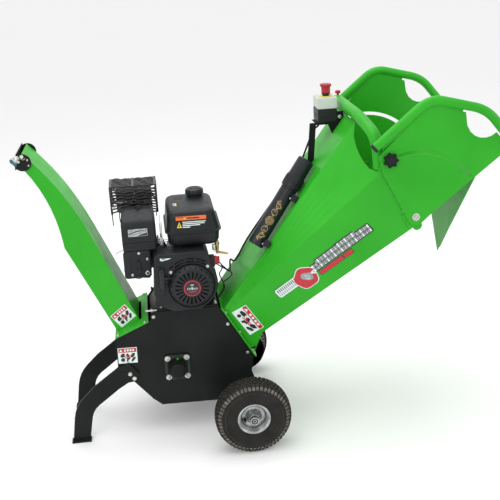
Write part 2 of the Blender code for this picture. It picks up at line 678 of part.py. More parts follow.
def tray_lip():
    """Pointed plate that hangs from the outer end of the tray floor."""
    top = tray_point(0.252, -0.0225)
    tip = Vector((0.757, 0.574))
    slope = (tip - top).normalized()
    across = Vector((-slope.y, slope.x)) * 0.003
    shape = [(0.0, -0.305), (0.0, 0.305), (0.05, 0.300), (0.93, 0.022), (1.0, 0.0),
             (0.93, -0.022), (0.05, -0.300)]
    bm = bmesh.new()
    rows = []
    for shift in (Vector((0, 0)), across):
        row = []
        for share, y in shape:
            p = top.lerp(tip, share) + shift
            row.append(bm.verts.new((p.x, y, p.y)))
        rows.append(row)
    bm.faces.new(rows[0])
    bm.faces.new(reversed(rows[1]))
    for i in range(len(shape)):
        j = (i + 1) % len(shape)
        bm.faces.new((rows[0][i], rows[0][j], rows[1][j], rows[1][i]))
    finish("tray_lip", bm, "green", at_y(PIVOT))


def star_knobs():
    """Lobed hand knob on a stud that passes the slot and screws into the lug."""
    x, z = knob_centre()
    count = 48
    outline = []
    for k in range(count):
        a = 2 * pi * k / count
        r = 0.0215 + 0.0030 * cos(7 * a)
        outline.append((x + r * cos(a), z + r * sin(a)))
    for side, sign in SIDES:
        low, high = mirrored(WING_OUT + 0.0015, WING_OUT + 0.0165, sign)
        origin = (x, sign * WING_OUT, z)
        knob = prism("%s_star_knob" % side, outline, low, high, "black_plastic", origin, smooth=35)
        low, high = mirrored(0.3140, WING_OUT + 0.006, sign)
        join(knob, rod("stud_" + side, 0.005, low, high, "zinc", (x, 0, z), segments=16))


# ---------------------------------------------------------------- controls on the hopper
def panel_point(x, off):
    """A point beside the hopper's top panel, off metres outside its surface."""
    slope = Vector(MOUTH_TOP) - Vector((-0.068, 0.466))
    slope.normalize()
    out = Vector((-slope.y, slope.x))
    share = (x + 0.068) / slope.x
    return Vector((-0.068, 0.466)) + slope * share + out * off


def emergency_stop():
    """Push-to-stop box on a bracket that stands on the hopper's top panel."""
    under = BOX_LOW - GAP
    clear = 0.0006
    foot = [panel_point(x, clear) for x in (0.270, 0.296, 0.362, 0.4045)]
    plate = [(0.283, under), tuple(foot[0]), tuple(foot[1]), (0.305, under - 0.008),
             (0.348, under - 0.008), tuple(foot[2]), tuple(foot[3]), (0.402, 1.124),
             (0.3815, 1.124), (0.3815, under)]
    bracket = prism("estop_bracket", plate, 0.004, 0.007, "black_paint")
    join(bracket, block("box_rest", (BOX_X[0] - 0.008, 0.0045, under - 0.003),
                        (BOX_X[1] - 0.004, 0.070, under), "black_paint"))
    block("estop_base", (BOX_X[0], BOX_Y[0], BOX_LOW), (BOX_X[1], BOX_Y[1], BOX_SPLIT - GAP),
          "black_plastic", bevel=0.003)
    lid = block("estop_lid", (BOX_X[0], BOX_Y[0], BOX_SPLIT), (BOX_X[1], BOX_Y[1], BOX_TOP),
                "grey_plastic", bevel=0.003)
    stem = ((BOX_X[0] + BOX_X[1]) / 2 + 0.003, (BOX_Y[0] + BOX_Y[1]) / 2, 0)
    cut(lid, rod("cut_stem", 0.0125, BOX_TOP - 0.020, BOX_TOP + 0.01, "red", stem, "Z"))
    profile = [(0, -0.012), (0.011, -0.012), (0.011, 0.007), (0.0150, 0.009), (0.0155, 0.026),
               (0.0200, 0.030), (0.0200, 0.039), (0.017, 0.043), (0, 0.044)]
    turned("estop_button", [(r, h + BOX_TOP) for r, h in profile], "red", stem, "Z", 28,
           (stem[0], stem[1], BOX_TOP))
    seat = HOOP_TOP + HOOP_RADIUS
    knob = [(0, -0.009), (0.0043, -0.009), (0.0043, 0.0045), (0.0100, 0.0050), (0.0100, 0.0120),
            (0.0080, 0.0145), (0, 0.0150)]
    turned("bar_button", [(r, h + seat) for r, h in knob], "red", BAR_BUTTON, "Z", 20,
           (BAR_BUTTON[0], BAR_BUTTON[1], seat))


def document_tube():
    """Screw-top document tube, set a little askew on two feet on the top panel."""
    lift = 0.036
    low, high = panel_point(0.0865, lift), panel_point(0.289, lift)
    start, end = Vector((low.x, -0.106, low.y)), Vector((high.x, -0.040, high.y))
    axis = (end - start).normalized()
    surface = panel_point(0.0, 1.0) - panel_point(0.0, 0.0)
    out = Vector((surface.x, 0, surface.y))
    frame = Matrix((out.cross(axis), out, axis)).transposed().to_4x4()
    length = (end - start).length
    seam, collar = 0.232, 0.281
    body = turned("document_tube", [(0, 0), (TUBE_RADIUS - 0.003, 0), (TUBE_RADIUS, 0.004),
                                    (TUBE_RADIUS, seam), (0, seam)],
                  "black_plastic", start, segments=32, matrix=frame)
    placed = Matrix.Translation(start) @ frame
    for number, along in enumerate((0.012, 0.196)):
        corners = [(-0.044, along), (0.012, along), (0.012, along + 0.024), (-0.044, along + 0.024)]
        foot = prism_mesh(corners, -(lift - 0.0005), -0.012)
        bmesh.ops.transform(foot, matrix=placed, verts=foot.verts)
        join(body, finish("tube_foot_%d" % number, foot, "black_plastic"))
    cap = [(0, seam + GAP), (0.0335, seam + GAP), (0.0335, collar - 0.006), (0.0305, collar),
           (0.0300, length - 0.004), (0.027, length), (0, length)]
    turned("tube_cap", cap, "black_plastic", start, segments=32, origin=start, matrix=frame)


def stop_cable():
    """Lead from the engine switch, up the hopper's far edge, into the stop box."""
    route = [(-0.066, -0.132, 0.640), (-0.050, -0.128, 0.622), (-0.036, -0.100, 0.604),
             (-0.030, -0.050, 0.600), (-0.022, 0.010, 0.606)]
    for x, y in ((0.010, 0.080), (0.060, 0.112), (0.140, 0.112), (0.210, 0.104), (0.262, 0.090)):
        p = panel_point(x, 0.0075)
        route.append((p.x, y, p.y))
    route += [(0.306, 0.076, 1.040), (0.328, 0.0756, 1.064), (0.332, 0.0758, BOX_LOW - 0.0012)]
    points = [Vector(p) for p in route]
    curve = []
    for i in range(len(points) - 1):
        before, after = points[max(i - 1, 0)], points[min(i + 2, len(points) - 1)]
        start, end = points[i], points[i + 1]
        for k in range(3):
            t = k / 3
            pull = ((end - before) * t * (1 - t) ** 2 - (after - start) * t * t * (1 - t)) * 0.5
            curve.append(start * (1 + 2 * t) * (1 - t) ** 2 + end * (3 - 2 * t) * t * t + pull)
    curve.append(points[-1])
    tube("stop_cable", curve, 0.0035, "rubber", 6)


# ---------------------------------------------------------------- engine
THROTTLE = (-0.2675, 0.722)       # lever pivot, X and Z
TAP = (-0.074, -0.079, 0.674)     # middle of the fuel tap's lever
SWITCH = (-0.0895, -0.125, 0.658)  # face of the boss under the stop switch


def engine_block():
    block("engine_plate", (-0.304, -0.1215, DECK_Z + 0.0005), (-0.088, 0.1215, DECK_Z + 0.0065),
          "black_paint")
    base = DECK_Z + 0.0070
    case = [(-0.290, base), (-0.094, base), (-0.094, 0.500), (-0.104, 0.506), (-0.104, 0.640),
            (-0.132, 0.668), (-0.215, 0.668), (-0.262, 0.620), (-0.262, 0.506), (-0.290, 0.500)]
    crankcase = prism("crankcase", case, -0.083, 0.110, "black_plastic")
    cut(crankcase, rod("cut_crank", CRANK_RADIUS + GAP, -0.2, 0.2, "steel", at_y(CRANK)))
    x, z = THROTTLE
    rest = [(-0.250, 0.590), (-0.225, 0.640), (x + 0.008, z + 0.008), (x - 0.008, z + 0.008),
            (x - 0.008, z - 0.020)]
    join(crankcase, prism("throttle_rest", rest, -0.0615, -0.058, "black_plastic"))
    shaft = [(0, -0.150), (CRANK_RADIUS, -0.150), (CRANK_RADIUS, 0.200), (0, 0.200)]
    turned("crankshaft", shaft, "steel", at_y(CRANK), segments=24)
    wheel = [(CRANK_RADIUS + GAP, -0.015), (0.070, -0.015), (0.070, 0.008), (0.056, 0.012),
             (CRANK_RADIUS + GAP, 0.012)]
    turned("flywheel", wheel, "cast_iron", at_y(CRANK, -0.112), segments=32)


def cylinder():
    """Finned barrel and head, lying back at the engine's usual slant."""
    tilt = radians(160)
    u = Vector((cos(tilt), sin(tilt)))
    v = Vector((-u.y, u.x))
    root = Vector((-0.255, 0.625))
    core, fin, pitch, thick = 0.040, 0.055, 0.014, 0.005
    upper = [(0.020, core)]
    for k in range(7):
        at = 0.028 + pitch * k
        upper += [(at, core), (at, fin), (at + thick, fin), (at + thick, core)]
    upper += [(0.124, core), (0.124, 0.046), (0.148, 0.042)]
    outline = upper + [(s, -w) for s, w in reversed(upper)]
    points = [tuple(root + u * s + v * w) for s, w in outline]
    prism("cylinder", points, 0.006, 0.100, "cast_iron")


def blower_outline(inset=0.0):
    outline = arc(CRANK, 0.0925 - inset, -62, 35, 8)
    outline += [(-0.112 - inset, 0.700 - inset), (-0.124 - inset, 0.709 - inset)]
    outline += [(-0.282 + inset, 0.709 - inset), (-0.298 + inset, 0.700 - inset)]
    outline += [(-0.308 + inset, 0.565), (-0.292 + inset, 0.518 + inset)]
    outline += [(-0.245 + inset * 0.5, 0.4925 + inset), (-0.150, 0.4925 + inset)]
    return outline


def blower():
    """Fan housing, the starter cover on its face and the boss for the stop switch."""
    low, high = -0.165, -0.0835
    wall = 0.003
    housing = prism("blower_housing", blower_outline(), low, high, "black_plastic", smooth=25)
    cut(housing,
        prism("cut_blower", blower_outline(wall), low + wall, high + 0.01, "steel", smooth=25),
        rod("cut_fan", 0.072, -0.2, -0.15, "steel", at_y(CRANK), segments=32))
    x, y, z = SWITCH
    join(housing, block("switch_boss", (x - 0.024, y - 0.017, z - 0.018), (x, y + 0.017, z + 0.018),
                        "black_plastic"))
    outer = [(RECOIL_RADIUS, 0), (RECOIL_RADIUS, -0.010), (0.0735, -0.023), (0.064, -0.029)]
    inner = [(r - 0.0045, h + 0.003) for r, h in outer[1:]]
    profile = [(0, -0.029)] + outer[::-1] + [(RECOIL_RADIUS - 0.0045, 0)] + inner + [(0, -0.026)]
    shell = turned("recoil_cover", profile, "black_plastic", at_y(CRANK, low - GAP), segments=32)
    cut(shell, block("cut_cord", (-0.262, -0.184, 0.6195), (-0.225, -0.174, 0.6305), "steel"))


def recoil_grip():
    """T grip on the first stretch of its cord, which runs into the recoil cover."""
    centre = (-0.276, -0.179, 0.625)
    grip = turned("recoil_grip", [(0, -0.036), (0.008, -0.034), (0.010, -0.010), (0.010, 0.010),
                                  (0.008, 0.034), (0, 0.036)], "black_plastic", centre, "Z", 16)
    join(grip, rod("cord_stub", 0.0025, 0.004, 0.064, "rubber", centre, "X", 8))


def fuel_tank():
    """Two pressed halves meeting at a seam rim, with a filler neck and a tap below."""
    half = [(-0.241, 0.7125), (-0.068, 0.7125), (-0.063, 0.766), (-0.079, 0.842), (-0.237, 0.842),
            (-0.247, 0.766)]
    bm = prism_mesh(half, TANK_FRONT, TANK_BACK)
    bmesh.ops.bevel(bm, geom=list(bm.edges), offset=0.016, segments=3, profile=0.5, affect="EDGES")
    tank = finish("fuel_tank", bm, "black_plastic", smooth=30)
    rim = block("tank_seam", (-0.253, TANK_FRONT - 0.007, 0.7635), (-0.057, TANK_BACK + 0.007, 0.7680),
                "black_plastic", bevel=0.0015, segments=1)
    x, y = TANK_CAP
    join(tank, rim,
         rod("tank_neck", 0.024, 0.830, 0.8460, "black_plastic", (x, y, 0), "Z"),
         rod("tap_body", 0.0065, TAP[2] + 0.0075, 0.720, "brass", (TAP[0], TAP[1], 0), "Z", 12))
    cap = [(0.0, 0.8465), (0.031, 0.8465), (0.033, 0.8485), (0.033, 0.864), (0.029, 0.868), (0, 0.869)]
    turned("fuel_cap", cap, "black_plastic", (x, y, 0), "Z", 32, (x, y, 0.8465))


def intake_side():
    """Air cleaner over the carburettor and its choke lever."""
    outline = [(-0.122, 0.7145), (0.004, 0.7145), (0.004, 0.843), (-0.050, 0.843), (-0.108, 0.829),
               (-0.122, 0.812)]
    bm = prism_mesh(outline, 0.2825, 0.402)
    bmesh.ops.rotate(bm, matrix=Matrix.Rotation(pi / 2, 3, "Z"), verts=bm.verts)
    bmesh.ops.bevel(bm, geom=list(bm.edges), offset=0.006, segments=2, profile=0.5, affect="EDGES")
    finish("air_cleaner_cover", bm, "black_plastic", smooth=30)
    body = [(-0.400, 0.7135), (-0.404, 0.640), (-0.398, 0.616), (-0.318, 0.608), (-0.3098, 0.620),
            (-0.3098, 0.7135)]
    prism("carburettor", body, -0.112, -0.020, "black_plastic")
    lever = turned("choke_lever", [(0, -0.010), (0.007, -0.010), (0.007, 0), (0, 0)], "black_plastic",
                   (-0.350, -0.1125, 0.640), segments=16)
    arm = [(-0.354, 0.640), (-0.346, 0.640), (-0.348, 0.676), (-0.355, 0.676)]
    join(lever, prism("choke_arm", arm, -0.1215, -0.1160, "black_plastic"))


def exhaust():
    muffler = block("muffler", (-0.415, 0.045, 0.800), (-0.287, 0.120, 0.888), "cast_iron",
                    bevel=0.012, segments=2)
    join(muffler, rod("exhaust_pipe", 0.014, 0.7185, 0.810, "cast_iron", (-0.345, 0.075, 0), "Z"))
    guard = block("muffler_guard", (-0.436, 0.022, 0.806), (-0.268, 0.140, 0.908), "black_paint",
                  bevel=0.004, segments=1)
    cut(guard, block("cut_guard_box", (-0.4335, 0.0245, 0.70), (-0.2705, 0.1375, 0.9055), "steel"))


def engine_controls():
    x, z = THROTTLE
    throttle = turned("throttle_lever", [(0, -0.004), (0.008, -0.004), (0.008, 0.004), (0, 0.004)],
                      "zinc", at_y(THROTTLE, -0.066), segments=16)
    arm = [(x - 0.003, z), (x + 0.003, z), (x + 0.003, z + 0.030), (x - 0.003, z + 0.030)]
    join(throttle, prism("throttle_arm", arm, -0.068, -0.064, "zinc"))
    valve = turned("fuel_valve_lever", [(0, -0.008), (0.007, -0.008), (0.007, 0.010), (0, 0.010)],
                   "brass", TAP, segments=16)
    x, y, z = TAP
    handle = [(x - 0.002, z + 0.004), (x, z - 0.006), (x + 0.036, z - 0.014), (x + 0.037, z - 0.007)]
    join(valve, prism("valve_handle", handle, y - 0.006, y - 0.002, "brass"))
    x, y, z = SWITCH
    switch = turned("engine_switch", [(0, GAP), (0.016, GAP), (0.016, 0.006), (0.013, 0.010), (0, 0.010)],
                    "red", SWITCH, "X", 20)
    join(switch, block("switch_bar", (x + 0.008, y - 0.004, z - 0.013), (x + 0.018, y + 0.004, z + 0.013),
                       "red"))


def centre_machine():
    """Bring the middle of the whole machine over the origin."""
    for obj in bpy.data.objects:
        obj.location.x -= MIDDLE_X


def build():
    clear_scene()
    side_plates()
    drum_housing()
    legs()
    axle()
    wheels()
    bearings()
    rotor()
    belt_drive()
    discharge_chute()
    deflector()
    hopper()
    hopper_hoop()
    wings()
    tray_floor()
    tray_lip()
    star_knobs()
    emergency_stop()
    document_tube()
    stop_cable()
    engine_block()
    cylinder()
    blower()
    recoil_grip()
    fuel_tank()
    intake_side()
    exhaust()
    engine_controls()
    centre_machine()


build()
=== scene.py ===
"""Looks of the petrol wood chipper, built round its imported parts.

Metres, +Z up.  Shapes are laid out from the point on the ground under the wheel axle,
whose X comes from the frame, and are moved there when they become pieces.  -Y is near.
"""
import bmesh
import bpy
from math import cos, pi, radians, sin
from mathutils import Matrix, Vector
from mathutils.bvhtree import BVHTree


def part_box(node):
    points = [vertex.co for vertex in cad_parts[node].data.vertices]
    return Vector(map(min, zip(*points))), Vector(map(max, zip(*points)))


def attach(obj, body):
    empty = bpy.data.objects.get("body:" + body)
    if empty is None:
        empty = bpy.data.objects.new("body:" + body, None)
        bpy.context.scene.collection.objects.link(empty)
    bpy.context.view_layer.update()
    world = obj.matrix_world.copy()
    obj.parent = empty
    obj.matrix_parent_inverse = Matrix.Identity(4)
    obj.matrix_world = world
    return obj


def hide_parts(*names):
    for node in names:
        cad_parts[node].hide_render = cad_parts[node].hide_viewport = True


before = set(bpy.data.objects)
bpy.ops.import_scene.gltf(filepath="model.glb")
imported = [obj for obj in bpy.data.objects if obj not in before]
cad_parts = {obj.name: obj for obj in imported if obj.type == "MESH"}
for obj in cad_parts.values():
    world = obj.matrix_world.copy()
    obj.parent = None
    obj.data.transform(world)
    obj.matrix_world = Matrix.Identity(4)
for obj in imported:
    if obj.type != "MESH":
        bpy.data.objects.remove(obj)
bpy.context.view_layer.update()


TYRE_LOW, TYRE_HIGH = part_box("near_tyre")
AXLE_X = (TYRE_LOW.x + TYRE_HIGH.x) / 2
AXLE_SHIFT = Vector((AXLE_X, 0, 0))
SIDES = (("near", -1), ("far", 1))

X, Y, Z = Vector((1, 0, 0)), Vector((0, 1, 0)), Vector((0, 0, 1))

# Centres and sizes that repeat the part's own driving dimensions, from the axle
TYRE_RADIUS = 0.135
WHEEL_Y = 0.3
BODY_HALF = 0.125
ROTOR = (-0.247, 0.262)
CRANK = (-0.176, 0.588)
PIVOT = (0.566, 0.825)
BLOWER_FACE = -0.165
HOOP_TOP = 1.137
TANK_CAP = (-0.134, 0.074)


# ---------------------------------------------------------------- materials
class Finish:
    """Builds one procedural material, node by node."""

    def __init__(self, name, metallic=0.0, coat=0.0, sheen=0.0, specular=0.5):
        self.material = bpy.data.materials.new(name)
        self.material.use_nodes = True
        self.tree = self.material.node_tree
        self.shader = self.tree.nodes["Principled BSDF"]
        self.shader.inputs["Metallic"].default_value = metallic
        self.shader.inputs["Coat Weight"].default_value = coat
        self.shader.inputs["Coat Roughness"].default_value = 0.12
        self.shader.inputs["Sheen Weight"].default_value = sheen
        self.shader.inputs["Specular IOR Level"].default_value = specular
        self.place = self.add("TexCoord").outputs["Object"]

    def add(self, kind, **settings):
        node = self.tree.nodes.new("ShaderNode" + kind)
        for key, value in settings.items():
            setattr(node, key, value)
        return node

    def link(self, output, socket):
        self.tree.links.new(output, socket)

    def stretched(self, stretch):
        mapping = self.add("Mapping")
        mapping.inputs["Scale"].default_value = stretch
        self.link(self.place, mapping.inputs["Vector"])
        return mapping.outputs["Vector"]

    def noise(self, scale, detail=3.0, stretch=None):
        node = self.add("TexNoise")
        node.inputs["Scale"].default_value = scale
        node.inputs["Detail"].default_value = detail
        self.link(self.stretched(stretch) if stretch else self.place, node.inputs["Vector"])
        return node.outputs["Fac"]

    def band(self, value, low, high, to_low=0.0, to_high=1.0):
        node = self.add("MapRange")
        self.link(value, node.inputs["Value"])
        node.inputs["From Min"].default_value = low
        node.inputs["From Max"].default_value = high
        node.inputs["To Min"].default_value = to_low
        node.inputs["To Max"].default_value = to_high
        return node.outputs["Result"]

    def times(self, first, second):
        node = self.add("Math", operation="MULTIPLY")
        self.link(first, node.inputs[0])
        if isinstance(second, float):
            node.inputs[1].default_value = second
        else:
            self.link(second, node.inputs[1])
        return node.outputs[0]

    def mix(self, share, first, second):
        node = self.add("Mix", data_type="RGBA")
        self.link(share, node.inputs[0])
        for value, socket in ((first, node.inputs[6]), (second, node.inputs[7])):
            if isinstance(value, tuple):
                socket.default_value = (*value, 1.0)
            else:
                self.link(value, socket)
        return node.outputs[2]

    def edge(self, radius):
        """How close a point is to a sharp edge, and the normal rounded over that edge."""
        bevel = self.add("Bevel", samples=4)
        bevel.inputs["Radius"].default_value = radius
        dot = self.add("VectorMath", operation="DOT_PRODUCT")
        self.link(bevel.outputs["Normal"], dot.inputs[0])
        self.link(self.add("NewGeometry").outputs["Normal"], dot.inputs[1])
        return self.band(dot.outputs["Value"], 0.8, 0.995, 1.0, 0.0), bevel.outputs["Normal"]

    def settled(self):
        """Where dust settles: faces that look up, broken up by noise."""
        split = self.add("SeparateXYZ")
        self.link(self.add("NewGeometry").outputs["Normal"], split.inputs[0])
        upward = self.band(split.outputs["Z"], 0.2, 1.0)
        return self.times(upward, self.band(self.noise(14.0, 6.0), 0.42, 0.75))

    def bump(self, height, distance, normal=None):
        """Normal of fine relief, added to another normal where one is given."""
        node = self.add("Bump")
        node.inputs["Distance"].default_value = distance
        self.link(height, node.inputs["Height"])
        if normal:
            self.link(normal, node.inputs["Normal"])
        return node.outputs["Normal"]

    def finish(self, colour, roughness, normal):
        self.link(colour, self.shader.inputs["Base Color"])
        self.link(roughness, self.shader.inputs["Roughness"])
        self.link(normal, self.shader.inputs["Normal"])
        return self.material


def coated(name, base, other, roughness, patch=5.0, grain=700.0, grain_depth=0.00012, edge_colour=None,
           edge_radius=0.0012, dust=None, dust_share=0.25, metallic=0.0, coat=0.0, sheen=0.0,
           specular=0.5, stretch=None):
    """A surface with slow colour drift, fine grain, softened edges painted lighter (partly wear, partly
    painted highlight) and a little dust.
    """
    f = Finish(name, metallic, coat, sheen, specular)
    colour = f.mix(f.band(f.noise(patch, 5.0, stretch), 0.35, 0.65), base, other)
    near_edge, normal = f.edge(edge_radius)
    if edge_colour:
        # Edges are painted a lighter tone: partly wear, partly a painted highlight along folds and corners.
        edge_highlight_and_wear = f.times(near_edge, f.band(f.noise(60.0, 4.0), 0.3, 0.62, 0.15, 0.9))
        colour = f.mix(edge_highlight_and_wear, colour, edge_colour)
    if dust:
        colour = f.mix(f.times(f.settled(), dust_share), colour, dust)
    rough = f.band(f.noise(patch * 6, 4.0), 0.3, 0.7, *roughness)
    return f.finish(colour, rough, f.bump(f.noise(grain, 2.0), grain_depth, normal))


def flat_print(name, base, other):
    """Ink or film: smooth, slightly glossy, faintly mottled."""
    f = Finish(name)
    colour = f.mix(f.band(f.noise(160.0, 4.0), 0.3, 0.7), base, other)
    rough = f.band(f.noise(40.0), 0.3, 0.7, 0.28, 0.42)
    return f.finish(colour, rough, f.bump(f.noise(300.0), 0.00003))


# Each edge_colour is a lighter tone painted along edges: partly wear, partly painted highlight.
LOOK = {
    "green": coated("green_powder_coat", (0.02, 0.33, 0.012), (0.028, 0.385, 0.017), (0.3, 0.42),
                    patch=4.0, grain=520.0, grain_depth=0.0001, edge_colour=(0.1, 0.52, 0.07),
                    dust=(0.16, 0.5, 0.1), dust_share=0.08, specular=0.22),
    "black_paint": coated("black_satin_paint", (0.0055, 0.007, 0.0066), (0.0095, 0.0115, 0.011), (0.36, 0.5),
                          patch=7.0, grain=480.0, grain_depth=0.00014, edge_colour=(0.03, 0.033, 0.032),
                          dust=(0.03, 0.031, 0.029), specular=0.16),
    "plastic": coated("moulded_black_plastic", (0.007, 0.008, 0.0095), (0.012, 0.0132, 0.0155), (0.36, 0.5),
                      patch=9.0, grain=1300.0, grain_depth=0.0001, edge_colour=(0.03, 0.033, 0.037),
                      dust=(0.035, 0.038, 0.043), specular=0.28),
    "gloss_plastic": coated("gloss_black_plastic", (0.0075, 0.0095, 0.012), (0.013, 0.016, 0.02),
                            (0.22, 0.34),
                            patch=8.0, grain=900.0, grain_depth=0.00005, edge_colour=(0.035, 0.04, 0.045),
                            dust=(0.032, 0.037, 0.043), specular=0.32),
    "cage": coated("black_wire_enamel", (0.005, 0.005, 0.005), (0.018, 0.019, 0.019), (0.18, 0.34),
                   patch=30.0, grain=800.0, grain_depth=0.0001, edge_colour=(0.06, 0.06, 0.06), specular=0.4),
    "casting": coated("dark_engine_casting", (0.008, 0.0088, 0.0095), (0.018, 0.019, 0.021), (0.48, 0.66),
                      patch=22.0, grain=650.0, grain_depth=0.00035, edge_colour=(0.055, 0.055, 0.055),
                      dust=(0.05, 0.047, 0.042), specular=0.25),
    "bearing": coated("green_black_housing", (0.006, 0.012, 0.009), (0.011, 0.021, 0.016), (0.3, 0.46),
                      patch=30.0, grain=380.0, grain_depth=0.0003, edge_colour=(0.03, 0.05, 0.04),
                      specular=0.4),
    "iron": coated("cast_iron", (0.03, 0.03, 0.031), (0.062, 0.059, 0.055), (0.5, 0.68), patch=25.0,
                   grain=420.0, grain_depth=0.0004, edge_colour=(0.15, 0.14, 0.13), metallic=0.6),
    "rubber": coated("tyre_rubber", (0.009, 0.009, 0.0086), (0.018, 0.0165, 0.0145), (0.6, 0.78), patch=18.0,
                     grain=900.0, grain_depth=0.0002, edge_colour=(0.3, 0.27, 0.235), edge_radius=0.001,
                     dust=(0.055, 0.048, 0.04), specular=0.22),
    "tread_dust": coated("dusty_tread_edge", (0.06, 0.053, 0.046), (0.2, 0.18, 0.156), (0.66, 0.82),
                         patch=60.0, grain=900.0, grain_depth=0.0002, edge_colour=(0.36, 0.33, 0.29),
                         specular=0.2),
    "lead": coated("lead_sheath", (0.007, 0.007, 0.007), (0.014, 0.014, 0.013), (0.45, 0.6), patch=40.0,
                   grain=1500.0, grain_depth=0.00005, specular=0.25),
    "galvanised": coated("galvanised_pressing", (0.26, 0.27, 0.27), (0.5, 0.51, 0.51), (0.24, 0.42),
                         patch=38.0, grain=240.0, grain_depth=0.00018, edge_colour=(0.72, 0.73, 0.73),
                         metallic=0.95),
    "zinc": coated("bright_zinc", (0.42, 0.43, 0.41), (0.68, 0.67, 0.62), (0.2, 0.38), patch=90.0,
                   grain=700.0, grain_depth=0.0001, edge_colour=(0.86, 0.86, 0.82), metallic=0.9),
    "steel": coated("turned_steel", (0.22, 0.22, 0.22), (0.36, 0.36, 0.35), (0.26, 0.42), patch=30.0,
                    grain=500.0, grain_depth=0.0001, edge_colour=(0.55, 0.55, 0.55), metallic=1.0,
                    stretch=(1.0, 12.0, 1.0)),
    "red": coated("red_moulding", (0.3, 0.008, 0.016), (0.4, 0.014, 0.024), (0.28, 0.4), patch=20.0,
                  grain=1200.0, grain_depth=0.00005, edge_colour=(0.52, 0.05, 0.06), specular=0.4),
    "light_grey": coated("light_grey_moulding", (0.46, 0.5, 0.45), (0.54, 0.58, 0.53), (0.34, 0.46),
                         patch=14.0, grain=1000.0, grain_depth=0.00008, edge_colour=(0.66, 0.68, 0.64),
                         dust=(0.36, 0.37, 0.33), dust_share=0.15, specular=0.3),
    "brass": coated("worn_brass", (0.36, 0.25, 0.08), (0.52, 0.39, 0.14), (0.24, 0.42), patch=70.0,
                    grain=700.0, grain_depth=0.0001, edge_colour=(0.72, 0.6, 0.3), metallic=1.0),
    "teal": coated("teal_cap", (0.006, 0.095, 0.15), (0.012, 0.15, 0.22), (0.34, 0.46), patch=60.0,
                   grain=1000.0, edge_colour=(0.06, 0.28, 0.36)),
    "yellow": coated("yellow_ring", (0.62, 0.5, 0.08), (0.72, 0.6, 0.13), (0.34, 0.46), patch=60.0,
                     grain=1000.0, grain_depth=0.00005),
    "label_white": flat_print("label_white", (0.62, 0.74, 0.7), (0.74, 0.82, 0.79)),
    "label_red": flat_print("label_red", (0.42, 0.01, 0.022), (0.52, 0.018, 0.03)),
    # Black print; the same black is also painted shade in the valve hole and the screw recesses.
    "black_print_and_painted_shade": flat_print("black_print_and_painted_shade", (0.006, 0.007, 0.008), (0.016, 0.018, 0.02)),
    "label_grey": flat_print("label_grey", (0.18, 0.2, 0.21), (0.36, 0.39, 0.4)),
    "label_orange": flat_print("label_orange", (0.66, 0.115, 0.022), (0.74, 0.16, 0.036)),
    "label_yellow": flat_print("label_yellow", (0.66, 0.46, 0.02), (0.74, 0.56, 0.05)),
    "gold": flat_print("gold_ink", (0.44, 0.29, 0.09), (0.62, 0.45, 0.17)),
    "silver": coated("silver_film", (0.3, 0.32, 0.33), (0.56, 0.58, 0.59), (0.22, 0.34), patch=40.0,
                     grain=900.0, grain_depth=0.00003, metallic=0.8, stretch=(1.0, 1.0, 6.0)),
}

SLOT_LOOK = {"green_paint": "green", "black_paint": "black_paint", "black_plastic": "plastic",
             "engine_casting": "casting", "tyre": "rubber", "rubber": "lead", "zinc": "zinc",
             "steel": "steel", "cast_iron": "iron", "red_plastic": "red", "grey_plastic": "light_grey",
             "brass": "brass"}


# ---------------------------------------------------------------- mesh tools
def across(axis):
    """Two directions square to an axis; seen along it they turn anticlockwise."""
    axis = Vector(axis).normalized()
    first = X if abs(axis.x) < 0.9 else Y
    u = (first - axis * first.dot(axis)).normalized()
    return u, axis.cross(u)


def circle(centre, u, v, radius, count, turn=0.0):
    """Points of a circle in the plane of u and v."""
    angles = [turn + 2 * pi * k / count for k in range(count)]
    return [centre + u * radius * cos(a) + v * radius * sin(a) for a in angles]


def arc(centre, radius, start, end, steps):
    """Points of a plane arc between two angles in degrees."""
    turn = [radians(start + (end - start) * k / steps) for k in range(steps + 1)]
    return [(centre[0] + radius * cos(a), centre[1] + radius * sin(a)) for a in turn]


def round_outline(centre, radius, count):
    """Points of a circle in a plane, anticlockwise."""
    turn = [2 * pi * k / count for k in range(count)]
    return [(centre[0] + radius * cos(a), centre[1] + radius * sin(a)) for a in turn]


def rounded_box(low, high, radius, steps=5):
    """XY outline of a rectangle with round corners, anticlockwise."""
    x0, y0, x1, y1 = low[0] + radius, low[1] + radius, high[0] - radius, high[1] - radius
    outline = []
    for centre, start in (((x1, y1), 0), ((x0, y1), 90), ((x0, y0), 180), ((x1, y0), 270)):
        outline += arc(centre, radius, start, start + 90, steps)
    return outline


